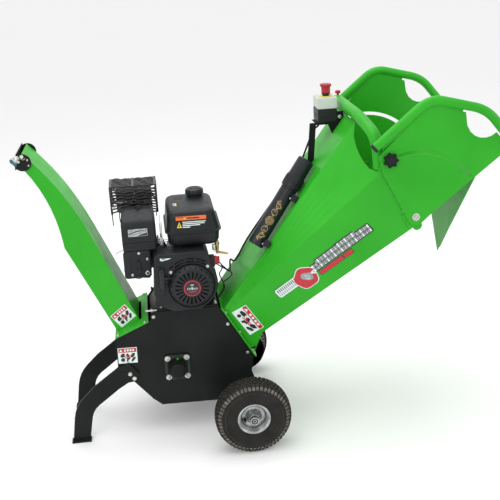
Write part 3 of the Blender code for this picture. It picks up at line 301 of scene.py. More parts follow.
class Shape:
    """Closed bodies of one or more materials that become one piece."""

    def __init__(self):
        self.bm = bmesh.new()
        self.looks = []

    def paint(self, faces, look):
        if look not in self.looks:
            self.looks.append(look)
        for face in faces:
            face.material_index = self.looks.index(look)
        return faces

    def loft(self, rings, look, caps=True, loop=False):
        """Skin over closed rings; loop joins the last ring to the first one."""
        rows = [[self.bm.verts.new(p) for p in ring] for ring in rings]
        faces = []
        pairs = list(zip(rows, rows[1:]))
        if loop:
            pairs.append((rows[-1], rows[0]))
        for one, two in pairs:
            for k in range(len(one)):
                n = (k + 1) % len(one)
                faces.append(self.bm.faces.new((one[k], one[n], two[n], two[k])))
        if caps and not loop:
            faces.append(self.bm.faces.new(rows[0][::-1]))
            faces.append(self.bm.faces.new(rows[-1]))
        return self.paint(faces, look)

    def turned(self, profile, centre, axis, look, count=32, loop=False):
        """Revolve (radius, height) points about an axis, with a flat cap at either end."""
        axis = Vector(axis).normalized()
        u, v = across(axis)
        rings = [circle(Vector(centre) + axis * h, u, v, r, count) for r, h in profile]
        return self.loft(rings, look, loop=loop)

    def ring(self, profile, centre, axis, look, count=48):
        """Revolve a closed profile that goes round without meeting the axis."""
        return self.turned(profile, centre, axis, look, count, loop=True)

    def washer(self, radii, heights, centre, axis, look, count):
        """Flat ring between two radii and two heights."""
        (inner, outer), (low, high) = radii, heights
        self.ring([(inner, low), (outer, low), (outer, high), (inner, high)], centre, axis, look, count)

    def slab(self, outline, origin, u, v, depth, look):
        """Flat outline in the plane of u and v, made depth thick along u x v."""
        u, v = Vector(u), Vector(v)
        n = u.cross(v).normalized()
        rows = [[Vector(origin) + u * a + v * b + n * d for a, b in outline] for d in (0.0, depth)]
        return self.loft(rows, look)

    def box(self, low, high, look, bevel=0.0, segments=2):
        x0, y0, z0 = low
        x1, y1, z1 = high
        outline = [(x0, y0), (x1, y0), (x1, y1), (x0, y1)]
        faces = self.loft([[(x, y, z) for x, y in outline] for z in (z0, z1)], look)
        if bevel:
            edges = {e for face in faces for e in face.edges}
            made = bmesh.ops.bevel(self.bm, geom=list(edges), offset=bevel, segments=segments,
                                   profile=0.5, affect="EDGES")
            self.paint(made["faces"], look)
        return faces

    def bar(self, path, radius, look, count=12, closed=False):
        """Round bar along points, its ring carried along without twist."""
        path = [Vector(point) for point in path]
        side = None
        rings = []
        last = len(path) - 1
        for i, point in enumerate(path):
            before = path[i - 1] if i or closed else path[0]
            after = path[(i + 1) % len(path)] if i < last or closed else path[last]
            ahead = (after - before).normalized()
            if side is None:
                side = across(ahead)[0]
            side = (side - ahead * side.dot(ahead)).normalized()
            rings.append(circle(point, side, ahead.cross(side), radius, count))
        return self.loft(rings, look, loop=closed)

    def bolt(self, centre, axis, size, look="zinc", washer=True, stud=0.0, turn=0.2):
        """Hex head on a washer; stud is the thread that stands out beyond a nut."""
        centre, axis = Vector(centre), Vector(axis).normalized()
        u, v = across(axis)
        base = 0.0
        if washer:
            base = size * 0.16
            self.turned([(size * 0.95, 0), (size, base * 0.4), (size * 0.96, base)], centre, axis, look, 20)
        levels = ((0.74, base), (0.8, base + size * 0.08), (0.8, base + size * 0.48),
                  (0.66, base + size * 0.6))
        self.loft([circle(centre + axis * h, u, v, size * r, 6, turn) for r, h in levels], look)
        if stud:
            top = base + size * 0.6
            thread = [(size * 0.38, top - 0.001), (size * 0.38, top + stud), (size * 0.28, top + stud * 1.25)]
            self.turned(thread, centre, axis, look, 12)

    def pan_screw(self, centre, axis, size, look="zinc"):
        """Domed screw head with a cross recess shown as two bars of painted shade."""
        profile = [(size, 0), (size, size * 0.25), (size * 0.8, size * 0.5), (size * 0.4, size * 0.62)]
        self.turned(profile, centre, axis, look, 18)
        u, v = across(axis)
        top = Vector(centre) + Vector(axis).normalized() * size * 0.6
        for a, b in ((u, v), (v, -u)):
            self.slab([(-size * 0.45, -size * 0.08), (size * 0.45, -size * 0.08), (size * 0.45, size * 0.08),
                       (-size * 0.45, size * 0.08)], top, a, b, size * 0.05, "black_print_and_painted_shade")


def mesh_of(name, shape):
    """Mesh of a shape, moved from the axle to its place in the frame."""
    bmesh.ops.translate(shape.bm, verts=shape.bm.verts, vec=AXLE_SHIFT)
    bmesh.ops.recalc_face_normals(shape.bm, faces=shape.bm.faces)
    mesh = bpy.data.meshes.new(name)
    shape.bm.to_mesh(mesh)
    shape.bm.free()
    return mesh


def added(name, data):
    """New object in the scene."""
    made = bpy.data.objects.new(name, data)
    bpy.context.scene.collection.objects.link(made)
    return made


def piece(name, shape, body, replaces=(), smooth=35, thickness=0.0):
    """Turn a shape, laid out from the axle, into a named piece that rides on a body."""
    mesh = mesh_of(name, shape)
    for look in shape.looks:
        mesh.materials.append(LOOK[look])
    mesh.shade_smooth()
    mesh.set_sharp_from_angle(angle=radians(smooth))
    made = added(name, mesh)
    if thickness:
        solid = made.modifiers.new("sheet", "SOLIDIFY")
        solid.thickness = thickness
        solid.offset = -1.0
    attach(made, body)
    if replaces:
        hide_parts(*replaces)
    return made


def cut(obj, shape, name):
    """Cut shape out of a piece, once and for all, with an exact Boolean."""
    tool = added(name, mesh_of(name, shape))
    modifier = obj.modifiers.new(name, "BOOLEAN")
    modifier.operation = "DIFFERENCE"
    modifier.solver = "EXACT"
    modifier.object = tool
    graph = bpy.context.evaluated_depsgraph_get()
    done = bpy.data.meshes.new_from_object(obj.evaluated_get(graph), depsgraph=graph)
    obj.modifiers.clear()
    obj.data = done
    done.shade_smooth()
    done.set_sharp_from_angle(angle=radians(30))
    bpy.data.objects.remove(tool)


# ---------------------------------------------------------------- finish of the CAD nodes
def smooth_normals(obj, angle):
    """Soft shading over shallow folds of a faceted solid; no vertex moves.

    Where many facets meet in one point, as at the tip of a fan, only neighbours across an
    edge are mixed, so that the tip takes no average of the whole fan.
    """
    mesh = obj.data
    least = cos(radians(angle))
    spots = [tuple(round(c, 5) for c in vertex.co) for vertex in mesh.vertices]
    around = {}
    for face in mesh.polygons:
        for index in face.vertices:
            around.setdefault(spots[index], []).append((face, {spots[i] for i in face.vertices}))
    normals = []
    for face in mesh.polygons:
        own = {spots[i] for i in face.vertices}
        for index in face.vertices:
            near = around[spots[index]]
            total = Vector()
            for other, corners in near:
                joined = len(near) <= 12 or len(own & corners) > 1
                if joined and other.normal.dot(face.normal) > least:
                    total += other.normal * other.area
            normals.append(total.normalized() if total.length > 1e-12 else face.normal.copy())
    mesh.shade_smooth()
    mesh.normals_split_custom_set(normals)


SHEET_NODES = ("hopper", "near_wing", "far_wing", "tray_floor", "tray_lip", "body_near_plate",
               "body_far_plate",
               "engine_plate", "drum_cover")


def dress_nodes():
    """Give every CAD node the procedural material of its slot."""
    own_look = {"document_tube": "gloss_plastic", "tube_cap": "gloss_plastic", "near_rim": "galvanised",
                "far_rim": "galvanised", "air_cleaner_cover": "plastic", "muffler": "iron", "axle": "iron",
                "estop_base": "plastic", "near_leg": "black_paint", "far_leg": "black_paint"}
    for name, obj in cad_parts.items():
        smooth_normals(obj, 14.0 if name in SHEET_NODES else 30.0)
        for entry in obj.material_slots:
            slot = entry.material.name.split(".")[0]
            entry.material = LOOK[own_look.get(name, SLOT_LOOK.get(slot, "black_paint"))]


def dress_lever():
    """The deflector's clamp has a teal tab on a zinc hub."""
    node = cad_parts["deflector_lever"]
    node.data.materials.append(LOOK["teal"])
    hub_x = -0.719 + AXLE_X
    for face in node.data.polygons:
        if face.center.z < 1.0615 and abs(face.center.x - hub_x) + (1.059 - face.center.z) > 0.008:
            face.material_index = len(node.data.materials) - 1


# ---------------------------------------------------------------- wheels
def tread_radius(y):
    """Radius of the crowned tread at a distance from the tyre's middle."""
    drop, shoulder = 0.0052, 0.034
    return TYRE_RADIUS - drop * (abs(y) / shoulder) ** 3


def tread_block(shape, centre, angles, across_y, look):
    """One tapered tread block between two angles and two distances from the tyre's middle."""
    taper = 0.0007
    rings = []
    for depth, inset in ((-0.0045, 0.0), (0.0, taper)):
        turn = inset / TYRE_RADIUS
        ring = []
        for angle, y in ((angles[0] + turn, across_y[0] + inset), (angles[1] - turn, across_y[0] + inset),
                         (angles[1] - turn, across_y[1] - inset), (angles[0] + turn, across_y[1] - inset)):
            radius = tread_radius(y) + depth
            ring.append(centre + Vector((radius * cos(angle), y, radius * sin(angle))))
        rings.append(ring)
    shape.loft(rings, look)


def tyre(side, sign):
    """Turf tyre: smooth walls with moulded rings, five rows of staggered blocks, shoulder lugs."""
    centre = Vector((0, sign * WHEEL_Y, TYRE_RADIUS))
    wall = [(0.053, 0.0305), (0.056, 0.0345), (0.064, 0.0375), (0.0655, 0.0384), (0.067, 0.038),
            (0.076, 0.0408), (0.09, 0.0427), (0.101, 0.0426), (0.1022, 0.0432), (0.1036, 0.0422),
            (0.112, 0.0398), (0.1195, 0.0355), (0.125, 0.03), (0.1288, 0.021), (0.1302, 0.01)]
    inner = [(0.053, 0.024), (0.085, 0.033), (0.118, 0.028), (0.124, 0.012)]
    profile = [(r, -h) for r, h in wall] + wall[::-1] + inner + [(r, -h) for r, h in inner[::-1]]
    shape = Shape()
    shape.ring(profile, centre, Y, "rubber", 96)
    count, filled, rows, width = 54, 0.68, 5, 0.0108
    pitch = 2 * pi / count
    for row in range(rows):
        middle = (row - (rows - 1) / 2) * 0.0138
        shift = 0.5 * pitch * (row % 2)
        for k in range(count):
            start = k * pitch + shift
            turns = (start, start + pitch * filled)
            tread_block(shape, centre, turns, (middle - width / 2, middle + width / 2), "rubber")
    for edge in (-1, 1):
        for k in range(count):
            start, end = k * pitch, (k + 0.6) * pitch
            rings = []
            for lift in (0.0, 0.0016):
                ring = []
                for angle, radius, y in ((start, 0.114, 0.0376), (end, 0.114, 0.0376),
                                         (end, 0.1262, 0.0292), (start, 0.1262, 0.0292)):
                    reach = radius + lift * 0.5
                    ring.append(centre + Vector((reach * cos(angle), edge * (y + lift), reach * sin(angle))))
                rings.append(ring)
            shape.loft(rings, "tread_dust")
    piece("%s_tyre_treaded" % side, shape, "%s_wheel" % side, ["%s_tyre" % side], 50)


def rim(side, sign):
    """Pressed rim: rolled lip, stepped well, dished disc and a bearing in the hub."""
    centre = Vector((0, sign * WHEEL_Y, TYRE_RADIUS))
    front = [(0.0165, 0.037), (0.0185, 0.0378), (0.0195, 0.0365), (0.0195, 0.021), (0.0215, 0.0165),
             (0.0255, 0.013), (0.0268, 0.0085), (0.03, 0.0068), (0.038, 0.0072), (0.0425, 0.0105),
             (0.0448, 0.0165), (0.0452, 0.0215), (0.0468, 0.0225), (0.0472, 0.028), (0.0488, 0.029),
             (0.0492, 0.0335), (0.051, 0.0352), (0.055, 0.0366), (0.0578, 0.0362), (0.0584, 0.0348),
             (0.0575, 0.0336), (0.054, 0.0326), (0.0524, 0.029), (0.052, 0.01)]
    profile = [(r, -h) for r, h in front] + front[::-1]
    shape = Shape()
    shape.ring(profile, centre, Y, "galvanised", 72)
    for face in (-1, 1):
        outward = Y * face
        shape.ring([(0.0118, 0.0362), (0.0118, 0.0385), (0.0136, 0.039), (0.016, 0.038), (0.016, 0.0362)],
                   centre, outward, "steel", 40)
        for radii, heights in (((0.0092, 0.0118), (0.0355, 0.0372)), ((0.016, 0.0168), (0.0362, 0.0376))):
            shape.washer(radii, heights, centre, outward, "black_print_and_painted_shade", 40)
    outward = Y * sign
    for k in range(4):
        angle = radians(45 + 90 * k)
        spot = centre + Vector((0.0345 * cos(angle), 0, 0.0345 * sin(angle)))
        shape.turned([(0.0026, 0.0066), (0.0026, 0.0078), (0.0016, 0.0084)], spot, outward, "zinc", 12)
    valve = radians(205)
    hub = Vector((cos(valve), 0, sin(valve)))
    spot = centre + hub * 0.0345
    shape.turned([(0.0052, 0.0068), (0.005, 0.009), (0.0036, 0.0105), (0.0032, 0.023), (0.0026, 0.025)],
                 spot, outward, "lead", 16)
    u, v = hub, outward.cross(hub)
    # Black slab under the valve stem: painted shade standing for the dark valve hole.
    plate = rounded_box((-0.006, -0.0085), (0.006, 0.0085), 0.004, 3)
    shape.slab(plate, spot + outward * 0.0066, u, v, 0.0009, "black_print_and_painted_shade")
    piece("%s_rim_pressed" % side, shape, "%s_wheel" % side, ["%s_rim" % side], 40)


def axle_ends():
    """Rings of the bearing and its cap on the ends of the axle."""
    shape = Shape()
    for side, sign in SIDES:
        outward = Y * sign
        end = Vector((0, sign * (WHEEL_Y + 0.05), TYRE_RADIUS))
        shape.turned([(0.0152, -0.002), (0.0152, 0.0004), (0.0146, 0.0008)], end, outward, "black_print_and_painted_shade", 40)
        for low, high in ((0.0122, 0.015), (0.0046, 0.0066)):
            shape.ring([(low, 0.0004), (high, 0.0004), (high - 0.0004, 0.0014), (low + 0.0004, 0.0014)], end,
                       outward, "zinc", 40)
    piece("axle_end_rings", shape, "machine")


# ---------------------------------------------------------------- engine
def blower_outline(inset):
    """XZ outline of the fan housing, drawn in by an inset."""
    outline = arc(CRANK, 0.0925 - inset, -62, 35, 18)
    outline += [(-0.112 - inset, 0.7 - inset), (-0.124 - inset, 0.709 - inset)]
    outline += [(-0.282 + inset, 0.709 - inset), (-0.298 + inset, 0.7 - inset)]
    outline += [(-0.308 + inset, 0.565), (-0.292 + inset, 0.518 + inset)]
    outline += [(-0.245 + inset * 0.5, 0.4925 + inset), (-0.15, 0.4925 + inset)]
    return outline


def arc_slot(radius, start, end):
    """Outline of a curved cooling slot round the crank."""
    half, steps = 0.002, 8
    return arc(CRANK, radius + half, start, end, steps) + arc(CRANK, radius - half, end, start, steps)


def xz_rings(outlines):
    """Rings at given depths from pairs of an XZ outline and a Y."""
    return [[(x, y, z) for x, z in outline] for outline, y in outlines]


def blower_housing():
    """Fan housing with rounded front edge, stepped ring and two rows of arched cooling slots."""
    shape = Shape()
    wall, back = 0.003, -0.0835
    levels = ((0.0075, BLOWER_FACE), (0.0035, BLOWER_FACE + 0.0008), (0.001, BLOWER_FACE + 0.0035),
              (0.0, BLOWER_FACE + 0.008), (0.0, back), (wall, back), (wall, BLOWER_FACE + wall))
    shape.loft(xz_rings([(blower_outline(inset), y) for inset, y in levels]), "plastic")
    made = piece("blower_shell", shape, "machine", ["blower_housing"], 30)
    tool = Shape()
    tool.turned([(0.072, -0.02), (0.072, 0.02)], (CRANK[0], BLOWER_FACE, CRANK[1]), Y, "plastic", 48)
    for radius, spans in ((0.088, ((52, 76), (80, 100), (104, 128), (154, 172))),
                          (0.0975, ((56, 78), (82, 98), (102, 124), (128, 138)))):
        for start, end in spans:
            slot = arc_slot(radius, start, end)
            tool.loft(xz_rings([(slot, BLOWER_FACE - 0.01), (slot, BLOWER_FACE + 0.02)]), "plastic")
    cut(made, tool, "blower_cuts")
    shape = Shape()
    centre = (CRANK[0], BLOWER_FACE, CRANK[1])
    shape.ring([(0.0802, 0.0), (0.0806, -0.003), (0.0822, -0.0042), (0.0838, -0.003), (0.0842, 0.0)],
               centre, Y, "plastic", 72)
    shape.box((-0.1135, -0.142, 0.64), (-0.0895, -0.108, 0.676), "plastic", 0.002)
    shape.box((-0.296, BLOWER_FACE - 0.0022, 0.556), (-0.266, BLOWER_FACE + 0.002, 0.662), "plastic", 0.002)
    piece("blower_trim", shape, "machine")
    shape = Shape()
    for x, z in [arc(CRANK, 0.0868, angle, angle, 1)[0] for angle in (142, 48)]:
        shape.bolt((x, BLOWER_FACE - 0.0002, z), -Y, 0.0062)
    piece("blower_bolts", shape, "machine")


def starter_cover():
    """Starter shell: polar grid with real slots between the badge and the shoulder."""
    count, group = 132, 6
    rows = [(0.0292, -0.029), (0.0312, -0.029), (0.0334, -0.029), (0.0585, -0.0289), (0.0605, -0.0287),
            (0.064, -0.0275), (0.07, -0.0225), (0.0745, -0.016), (0.0775, -0.009), (0.079, -0.0004)]
    shape = Shape()
    centre = Vector((CRANK[0], BLOWER_FACE, CRANK[1]))
    rings = []
    for radius, height in rows:
        ring = circle(centre + Y * height, X, Z, radius, count)
        rings.append([shape.bm.verts.new(p) for p in ring])
    middle = shape.bm.verts.new(centre + Y * -0.029)
    faces = []
    for k in range(count):
        n = (k + 1) % count
        faces.append(shape.bm.faces.new((middle, rings[0][n], rings[0][k])))
        for row, (one, two) in enumerate(zip(rings, rings[1:])):
            if row == 2 and k % group < 2:
                continue
            if row == 6 and k % group == 3:
                continue
            faces.append(shape.bm.faces.new((one[k], one[n], two[n], two[k])))
    shape.paint(faces, "plastic")
    piece("starter_cover_slotted", shape, "machine", ["recoil_cover"], 40, 0.0024)
    shape = Shape()
    face = centre + Y * -0.029
    shape.turned([(0.0292, -0.0002), (0.0292, -0.0012), (0.0282, -0.0018)], face, Y, "label_red", 64)
    shape.turned([(0.0256, -0.0016), (0.0256, -0.0021), (0.025, -0.0023)], face, Y, "black_print_and_painted_shade", 64)
    top = face + Y * -0.0023
    for low, high, look in (((-0.006, 0.012), (0.006, 0.0142), "label_white"),
                            ((-0.0185, -0.0045), (-0.0145, 0.0035), "label_grey"),
                            ((-0.0125, -0.0045), (-0.006, 0.0035), "label_grey"),
                            ((-0.004, -0.0045), (0.003, 0.006), "silver"),
                            ((0.005, -0.0045), (0.0105, 0.002), "label_grey"),
                            ((0.0125, -0.0045), (0.018, 0.002), "label_grey")):
        shape.slab(rounded_box(low, high, 0.0008, 2), top, X, Z, 0.0003, look)
    blade = [(-0.015, -0.0105), (0.015, -0.0095), (0.011, -0.0135), (-0.011, -0.0145)]
    shape.slab(blade, top, X, Z, 0.0003, "label_red")
    piece("starter_badge", shape, "machine")


def starter_grip():
    """Moulded T grip, waisted in the middle, on its cord."""
    shape = Shape()
    centre = Vector((-0.276, -0.179, 0.625))
    rings = []
    for height, wide, deep in ((-0.036, 0.004, 0.004), (-0.035, 0.0072, 0.0068), (-0.029, 0.0098, 0.0088),
                               (-0.015, 0.01, 0.0088), (0.0, 0.0092, 0.008), (0.015, 0.01, 0.0088),
                               (0.029, 0.0098, 0.0088), (0.035, 0.0072, 0.0068), (0.036, 0.004, 0.004)):
        rings.append([centre + Vector((wide * cos(2 * pi * k / 24), deep * sin(2 * pi * k / 24), height))
                      for k in range(24)])
    shape.loft(rings, "gloss_plastic")
    shape.turned([(0.0052, 0.006), (0.0048, 0.014), (0.0034, 0.018)], centre, X, "gloss_plastic", 16)
    shape.turned([(0.0025, 0.01), (0.0025, 0.063)], centre, X, "lead", 12)
    piece("starter_grip_moulded", shape, "starter_grip", ["recoil_grip"], 45)


def tank_level(z, x0, x1, y0, y1, radius):
    """One level of a moulded box: a rectangle with round corners at a height."""
    return [(x, y, z) for x, y in rounded_box((x0, y0), (x1, y1), radius, 7)]


def fuel_tank():
    """Two pressed halves: rounded bowl, rolled seam rim and crowned top."""
    shape = Shape()
    levels = [(0.7125, -0.222, -0.087, -0.101, 0.097, 0.02), (0.715, -0.232, -0.077, -0.111, 0.107, 0.025),
              (0.72, -0.239, -0.071, -0.117, 0.113, 0.028), (0.73, -0.2435, -0.0665, -0.1205, 0.1165, 0.03),
              (0.76, -0.2465, -0.0635, -0.1215, 0.1175, 0.031),
              (0.7632, -0.25, -0.06, -0.1255, 0.1215, 0.034),
              (0.764, -0.253, -0.057, -0.129, 0.125, 0.036), (0.7675, -0.253, -0.057, -0.129, 0.125, 0.036),
              (0.7685, -0.2505, -0.0595, -0.1262, 0.1222, 0.034),
              (0.769, -0.248, -0.0625, -0.1235, 0.1195, 0.032),
              (0.772, -0.2468, -0.064, -0.1222, 0.1182, 0.031), (0.8, -0.244, -0.07, -0.1205, 0.1165, 0.031),
              (0.822, -0.2415, -0.075, -0.119, 0.115, 0.031), (0.831, -0.2395, -0.078, -0.1165, 0.113, 0.03),
              (0.837, -0.235, -0.0825, -0.112, 0.1085, 0.027),
              (0.8405, -0.2285, -0.089, -0.105, 0.102, 0.023),
              (0.842, -0.218, -0.099, -0.094, 0.091, 0.017)]
    shape.loft([tank_level(*level) for level in levels], "plastic")
    x, y = TANK_CAP
    shape.turned([(0.03, 0.8412), (0.029, 0.8438), (0.0245, 0.844), (0.0245, 0.846)], (x, y, 0), Z,
                 "plastic", 40)
    for spot, radius in (((-0.196, 0.05), 0.015), ((-0.112, -0.03), 0.017)):
        path = [Vector((x, y, 0.8419)) for x, y in round_outline(spot, radius, 40)]
        shape.bar(path, 0.0009, "plastic", 8, closed=True)
    shape.turned([(0.0065, 0.6825), (0.0065, 0.714)], (-0.074, -0.079, 0), Z, "brass", 20)
    shape.loft([circle(Vector((-0.074, -0.079, z)), X, Y, 0.0088, 6) for z in (0.699, 0.706)], "brass")
    return piece("fuel_tank_pressed", shape, "machine", ["fuel_tank"], 40)


def filler_cap():
    """Cap with scalloped grip and a recessed top."""
    shape = Shape()
    x, y = TANK_CAP
    centre = Vector((x, y, 0))
    rings = []
    for z, radius, wave in ((0.8466, 0.03, 0.0), (0.848, 0.0322, 0.0004), (0.85, 0.0325, 0.0009),
                            (0.863, 0.0318, 0.0009), (0.8665, 0.03, 0.0006), (0.8685, 0.0262, 0.0),
                            (0.869, 0.024, 0.0), (0.8672, 0.0222, 0.0), (0.8668, 0.01, 0.0),
                            (0.8678, 0.008, 0.0)):
        ring = []
        for k in range(144):
            a = 2 * pi * k / 144
            r = radius + wave * cos(18 * a)
            ring.append(centre + Vector((r * cos(a), r * sin(a), z)))
        rings.append(ring)
    shape.loft(rings, "gloss_plastic")
    grip = rounded_box((-0.019, -0.0035), (0.019, 0.0035), 0.003, 3)
    shape.slab(grip, centre + Z * 0.8665, X, Y, 0.0024, "gloss_plastic")
    piece("filler_cap_ribbed", shape, "filler_cap", ["fuel_cap"], 30)


def air_cleaner():
    """Rounded cover with a sloping brow, a groove above its base and a wing knob."""
    shape = Shape()
    levels = [(0.7145, -0.3975, -0.287, -0.1175, -0.0005, 0.01),
              (0.7165, -0.4005, -0.284, -0.1205, 0.0025, 0.011),
              (0.742, -0.4015, -0.283, -0.1215, 0.0035, 0.012),
              (0.7432, -0.3995, -0.285, -0.1195, 0.0015, 0.011),
              (0.7448, -0.3995, -0.285, -0.1195, 0.0015, 0.011),
              (0.746, -0.4015, -0.283, -0.1215, 0.0035, 0.012),
              (0.808, -0.401, -0.284, -0.1212, 0.003, 0.012),
              (0.815, -0.4005, -0.2845, -0.119, 0.0028, 0.012),
              (0.8215, -0.3998, -0.2852, -0.112, 0.0025, 0.012),
              (0.829, -0.3985, -0.2865, -0.098, 0.0018, 0.012),
              (0.836, -0.3965, -0.289, -0.078, 0.0005, 0.012),
              (0.841, -0.392, -0.2935, -0.06, -0.0035, 0.011),
              (0.843, -0.386, -0.2995, -0.052, -0.0095, 0.009)]
    shape.loft([tank_level(*level) for level in levels], "plastic")
    knob = Vector((-0.338, -0.046, 0.8425))
    shape.turned([(0.006, 0.0), (0.006, 0.003), (0.0045, 0.005)], knob, Z, "gloss_plastic", 20)
    for angle in (20, 140, 260):
        turn = Matrix.Rotation(radians(angle), 3, "Z")
        lobe = rounded_box((0.002, -0.0032), (0.0145, 0.0032), 0.003, 3)
        shape.slab(lobe, knob + Z * 0.0005, turn @ X, turn @ Y, 0.0062, "gloss_plastic")
    for z in (0.7225, 0.73, 0.7375):
        shape.box((-0.396, -0.1223, z), (-0.289, -0.1195, z + 0.0016), "plastic", 0.0004, 1)
    return piece("air_cleaner_moulded", shape, "machine", ["air_cleaner_cover"], 38)


def muffler_cage():
    """Louvred wire guard round the muffler: wavy slats on a welded frame."""
    low, high = Vector((-0.436, 0.022, 0.806)), Vector((-0.268, 0.14, 0.908))
    shape = Shape()
    inset = 0.0022
    outline = rounded_box((low.x + inset, low.y + inset), (high.x - inset, high.y - inset), 0.01, 3)
    for level in range(9):
        z = low.z - 0.001 + level * 0.0105
        path = []
        for i, (x, y) in enumerate(outline):
            after = outline[(i + 1) % len(outline)]
            gap = Vector((after[0] - x, after[1] - y, 0))
            steps = max(1, int(gap.length / 0.009))
            for k in range(steps):
                p = Vector((x, y, z)) + gap * (k / steps)
                step = 0.0052 if p.y > (low.y + high.y) / 2 else 0.0
                path.append(p + Z * (0.0024 * sin(p.x * 150 + level * 0.8) - (p.x - high.x) * 0.07 + step))
        shape.bar(path, 0.0029, "cage", 6, closed=True)
    for bar in range(12):
        y = low.y + 0.007 + bar * 0.0094
        path = [Vector((x, y + 0.003 * sin(x * 150 + bar * 0.7), high.z - 0.0028 + 0.0006 * sin(x * 260)))
                for x in [low.x + 0.004 + (high.x - low.x - 0.008) * k / 24 for k in range(25)]]
        shape.bar(path, 0.002, "cage", 6)
    for x, y in ((low.x + 0.004, low.y + 0.004), (high.x - 0.004, low.y + 0.004),
                 (low.x + 0.004, high.y - 0.004), (high.x - 0.004, high.y - 0.004),
                 ((low.x + high.x) / 2, low.y + 0.003), ((low.x + high.x) / 2, high.y - 0.003)):
        shape.box((x - 0.0035, y - 0.0008, low.z), (x + 0.0035, y + 0.0008, high.z - 0.001), "cage", 0.0003,
                  1)
    for x in (low.x + 0.006, (low.x + high.x) / 2, high.x - 0.006):
        shape.box((x - 0.0035, low.y + 0.002, high.z - 0.0022),
                  (x + 0.0035, high.y - 0.002, high.z - 0.0006), "cage")
    for x, y, end in ((-0.431, 0.024, 0.766), (-0.406, 0.026, 0.776), (-0.275, 0.026, 0.79)):
        shape.bar([(x, y, 0.815), (x - 0.001, y, 0.795), (x, y, end)], 0.0017, "cage", 8)
    piece("muffler_cage", shape, "machine", ["muffler_guard"], 50)
    shape = Shape()
    shape.box((-0.4155, 0.0435, 0.838), (-0.2865, 0.0455, 0.846), "zinc", 0.0006, 1)
    shape.box((-0.43, 0.0235, 0.826), (-0.418, 0.0245, 0.838), "zinc")
    for x in (-0.405, -0.297):
        shape.bolt((x, 0.045, 0.822), -Y, 0.006)
    shape.bolt((-0.351, 0.045, 0.872), -Y, 0.006)
    piece("muffler_fittings", shape, "machine")


def carburettor_details():
    """Choke panel bezel, dial, screws, float bowl and coloured marks."""
    front = -0.1122
    shape = Shape()
    bezel = rounded_box((-0.403, 0.612), (-0.311, 0.712), 0.01, 4)
    window = rounded_box((-0.38, 0.62), (-0.315, 0.7), 0.016, 4)
    rim_face = front - 0.003
    shape.loft(xz_rings([(bezel, front), (bezel, rim_face), (window, rim_face), (window, front - 0.0004)]),
               "plastic")
    piece("choke_panel", shape, "machine")
    shape = Shape()
    for x, z in ((-0.376, 0.6255), (-0.3205, 0.68), (-0.348, 0.703)):
        shape.pan_screw((x, front - 0.003, z), -Y, 0.0052)
    shape.turned([(0.0085, 0.0), (0.0085, 0.0042), (0.0065, 0.006)], (-0.3235, front - 0.0004, 0.629), -Y,
                 "zinc", 28)
    shape.turned([(0.0048, 0.0042), (0.0048, 0.0078)], (-0.3235, front - 0.0004, 0.629), -Y, "iron", 16)
    shape.slab(rounded_box((-0.007, -0.0035), (0.007, 0.0035), 0.003, 3), (-0.323, front + 0.0002, 0.69),
               X, Z, -0.0018, "silver")
    shape.turned([(0.0175, 0.0), (0.0175, -0.01), (0.014, -0.015), (0.006, -0.016), (0.006, -0.02)],
                 (-0.356, -0.07, 0.6125), Z, "zinc", 28)
    piece("carburettor_fittings", shape, "machine")
    shape = Shape()
    for z, look in ((0.681, "label_white"), (0.674, "label_white"), (0.667, "label_red"),
                    (0.66, "label_white")):
        shape.slab(rounded_box((-0.0025, -0.0022), (0.0025, 0.0022), 0.0006, 2), (-0.389, front - 0.0028, z),
                   X, Z, -0.0006, look)
    piece("choke_marks", shape, "machine")


def helix(start, axis, radius, turns, length):
    """Path of a coil spring."""
    per_turn = 12
    u, v = across(axis)
    axis = Vector(axis).normalized()
    path = []
    for k in range(int(turns * per_turn) + 1):
        a = 2 * pi * k / per_turn
        rise = axis * length * k / (turns * per_turn)
        path.append(Vector(start) + u * radius * cos(a) + v * radius * sin(a) + rise)
    return path


def linkages():
    """Governor spring and rods between air cleaner and tank, the breather rod and a plug."""
    shape = Shape()
    shape.bar(helix((-0.2665, -0.085, 0.748), Z, 0.0042, 13, 0.05), 0.0008, "zinc", 6)
    shape.bar([(-0.2665, -0.085, 0.798), (-0.268, -0.086, 0.812), (-0.2665, -0.084, 0.828)],
              0.0009, "zinc", 6)
    shape.box((-0.274, -0.0885, 0.71), (-0.26, -0.0875, 0.746), "silver", 0.0003, 1)
    for z in (0.729, 0.737):
        shape.bar([(-0.278, -0.093, z), (-0.26, -0.0945, z + 0.001), (-0.244, -0.09, z)],
                  0.0011, "zinc", 8)
    shape.bolt((-0.267, -0.0886, 0.72), -Y, 0.0048)
    shape.bar([(-0.402, -0.06, 0.701), (-0.415, -0.061, 0.696), (-0.43, -0.06, 0.688)],
              0.001, "cage", 8)
    shape.turned([(0.0036, 0.0), (0.0036, 0.024), (0.0064, 0.0241), (0.0064, 0.0285), (0.0052, 0.03)],
                 (-0.2905, 0.0, 0.523), -X, "cage", 18)
    piece("governor_linkage", shape, "machine", smooth=50)


def smooth_route(points, steps=8):
    """A smooth curve through given points."""
    points = [Vector(p) for p in points]
    curve = []
    for i in range(len(points) - 1):
        before, after = points[max(i - 1, 0)], points[min(i + 2, len(points) - 1)]
        start, end = points[i], points[i + 1]
        for k in range(steps):
            t = k / steps
            pull = ((end - before) * t * (1 - t) ** 2 - (after - start) * t * t * (1 - t)) * 0.5
            curve.append(start * (1 + 2 * t) * (1 - t) ** 2 + end * (3 - 2 * t) * t * t + pull)
    return curve + [points[-1]]


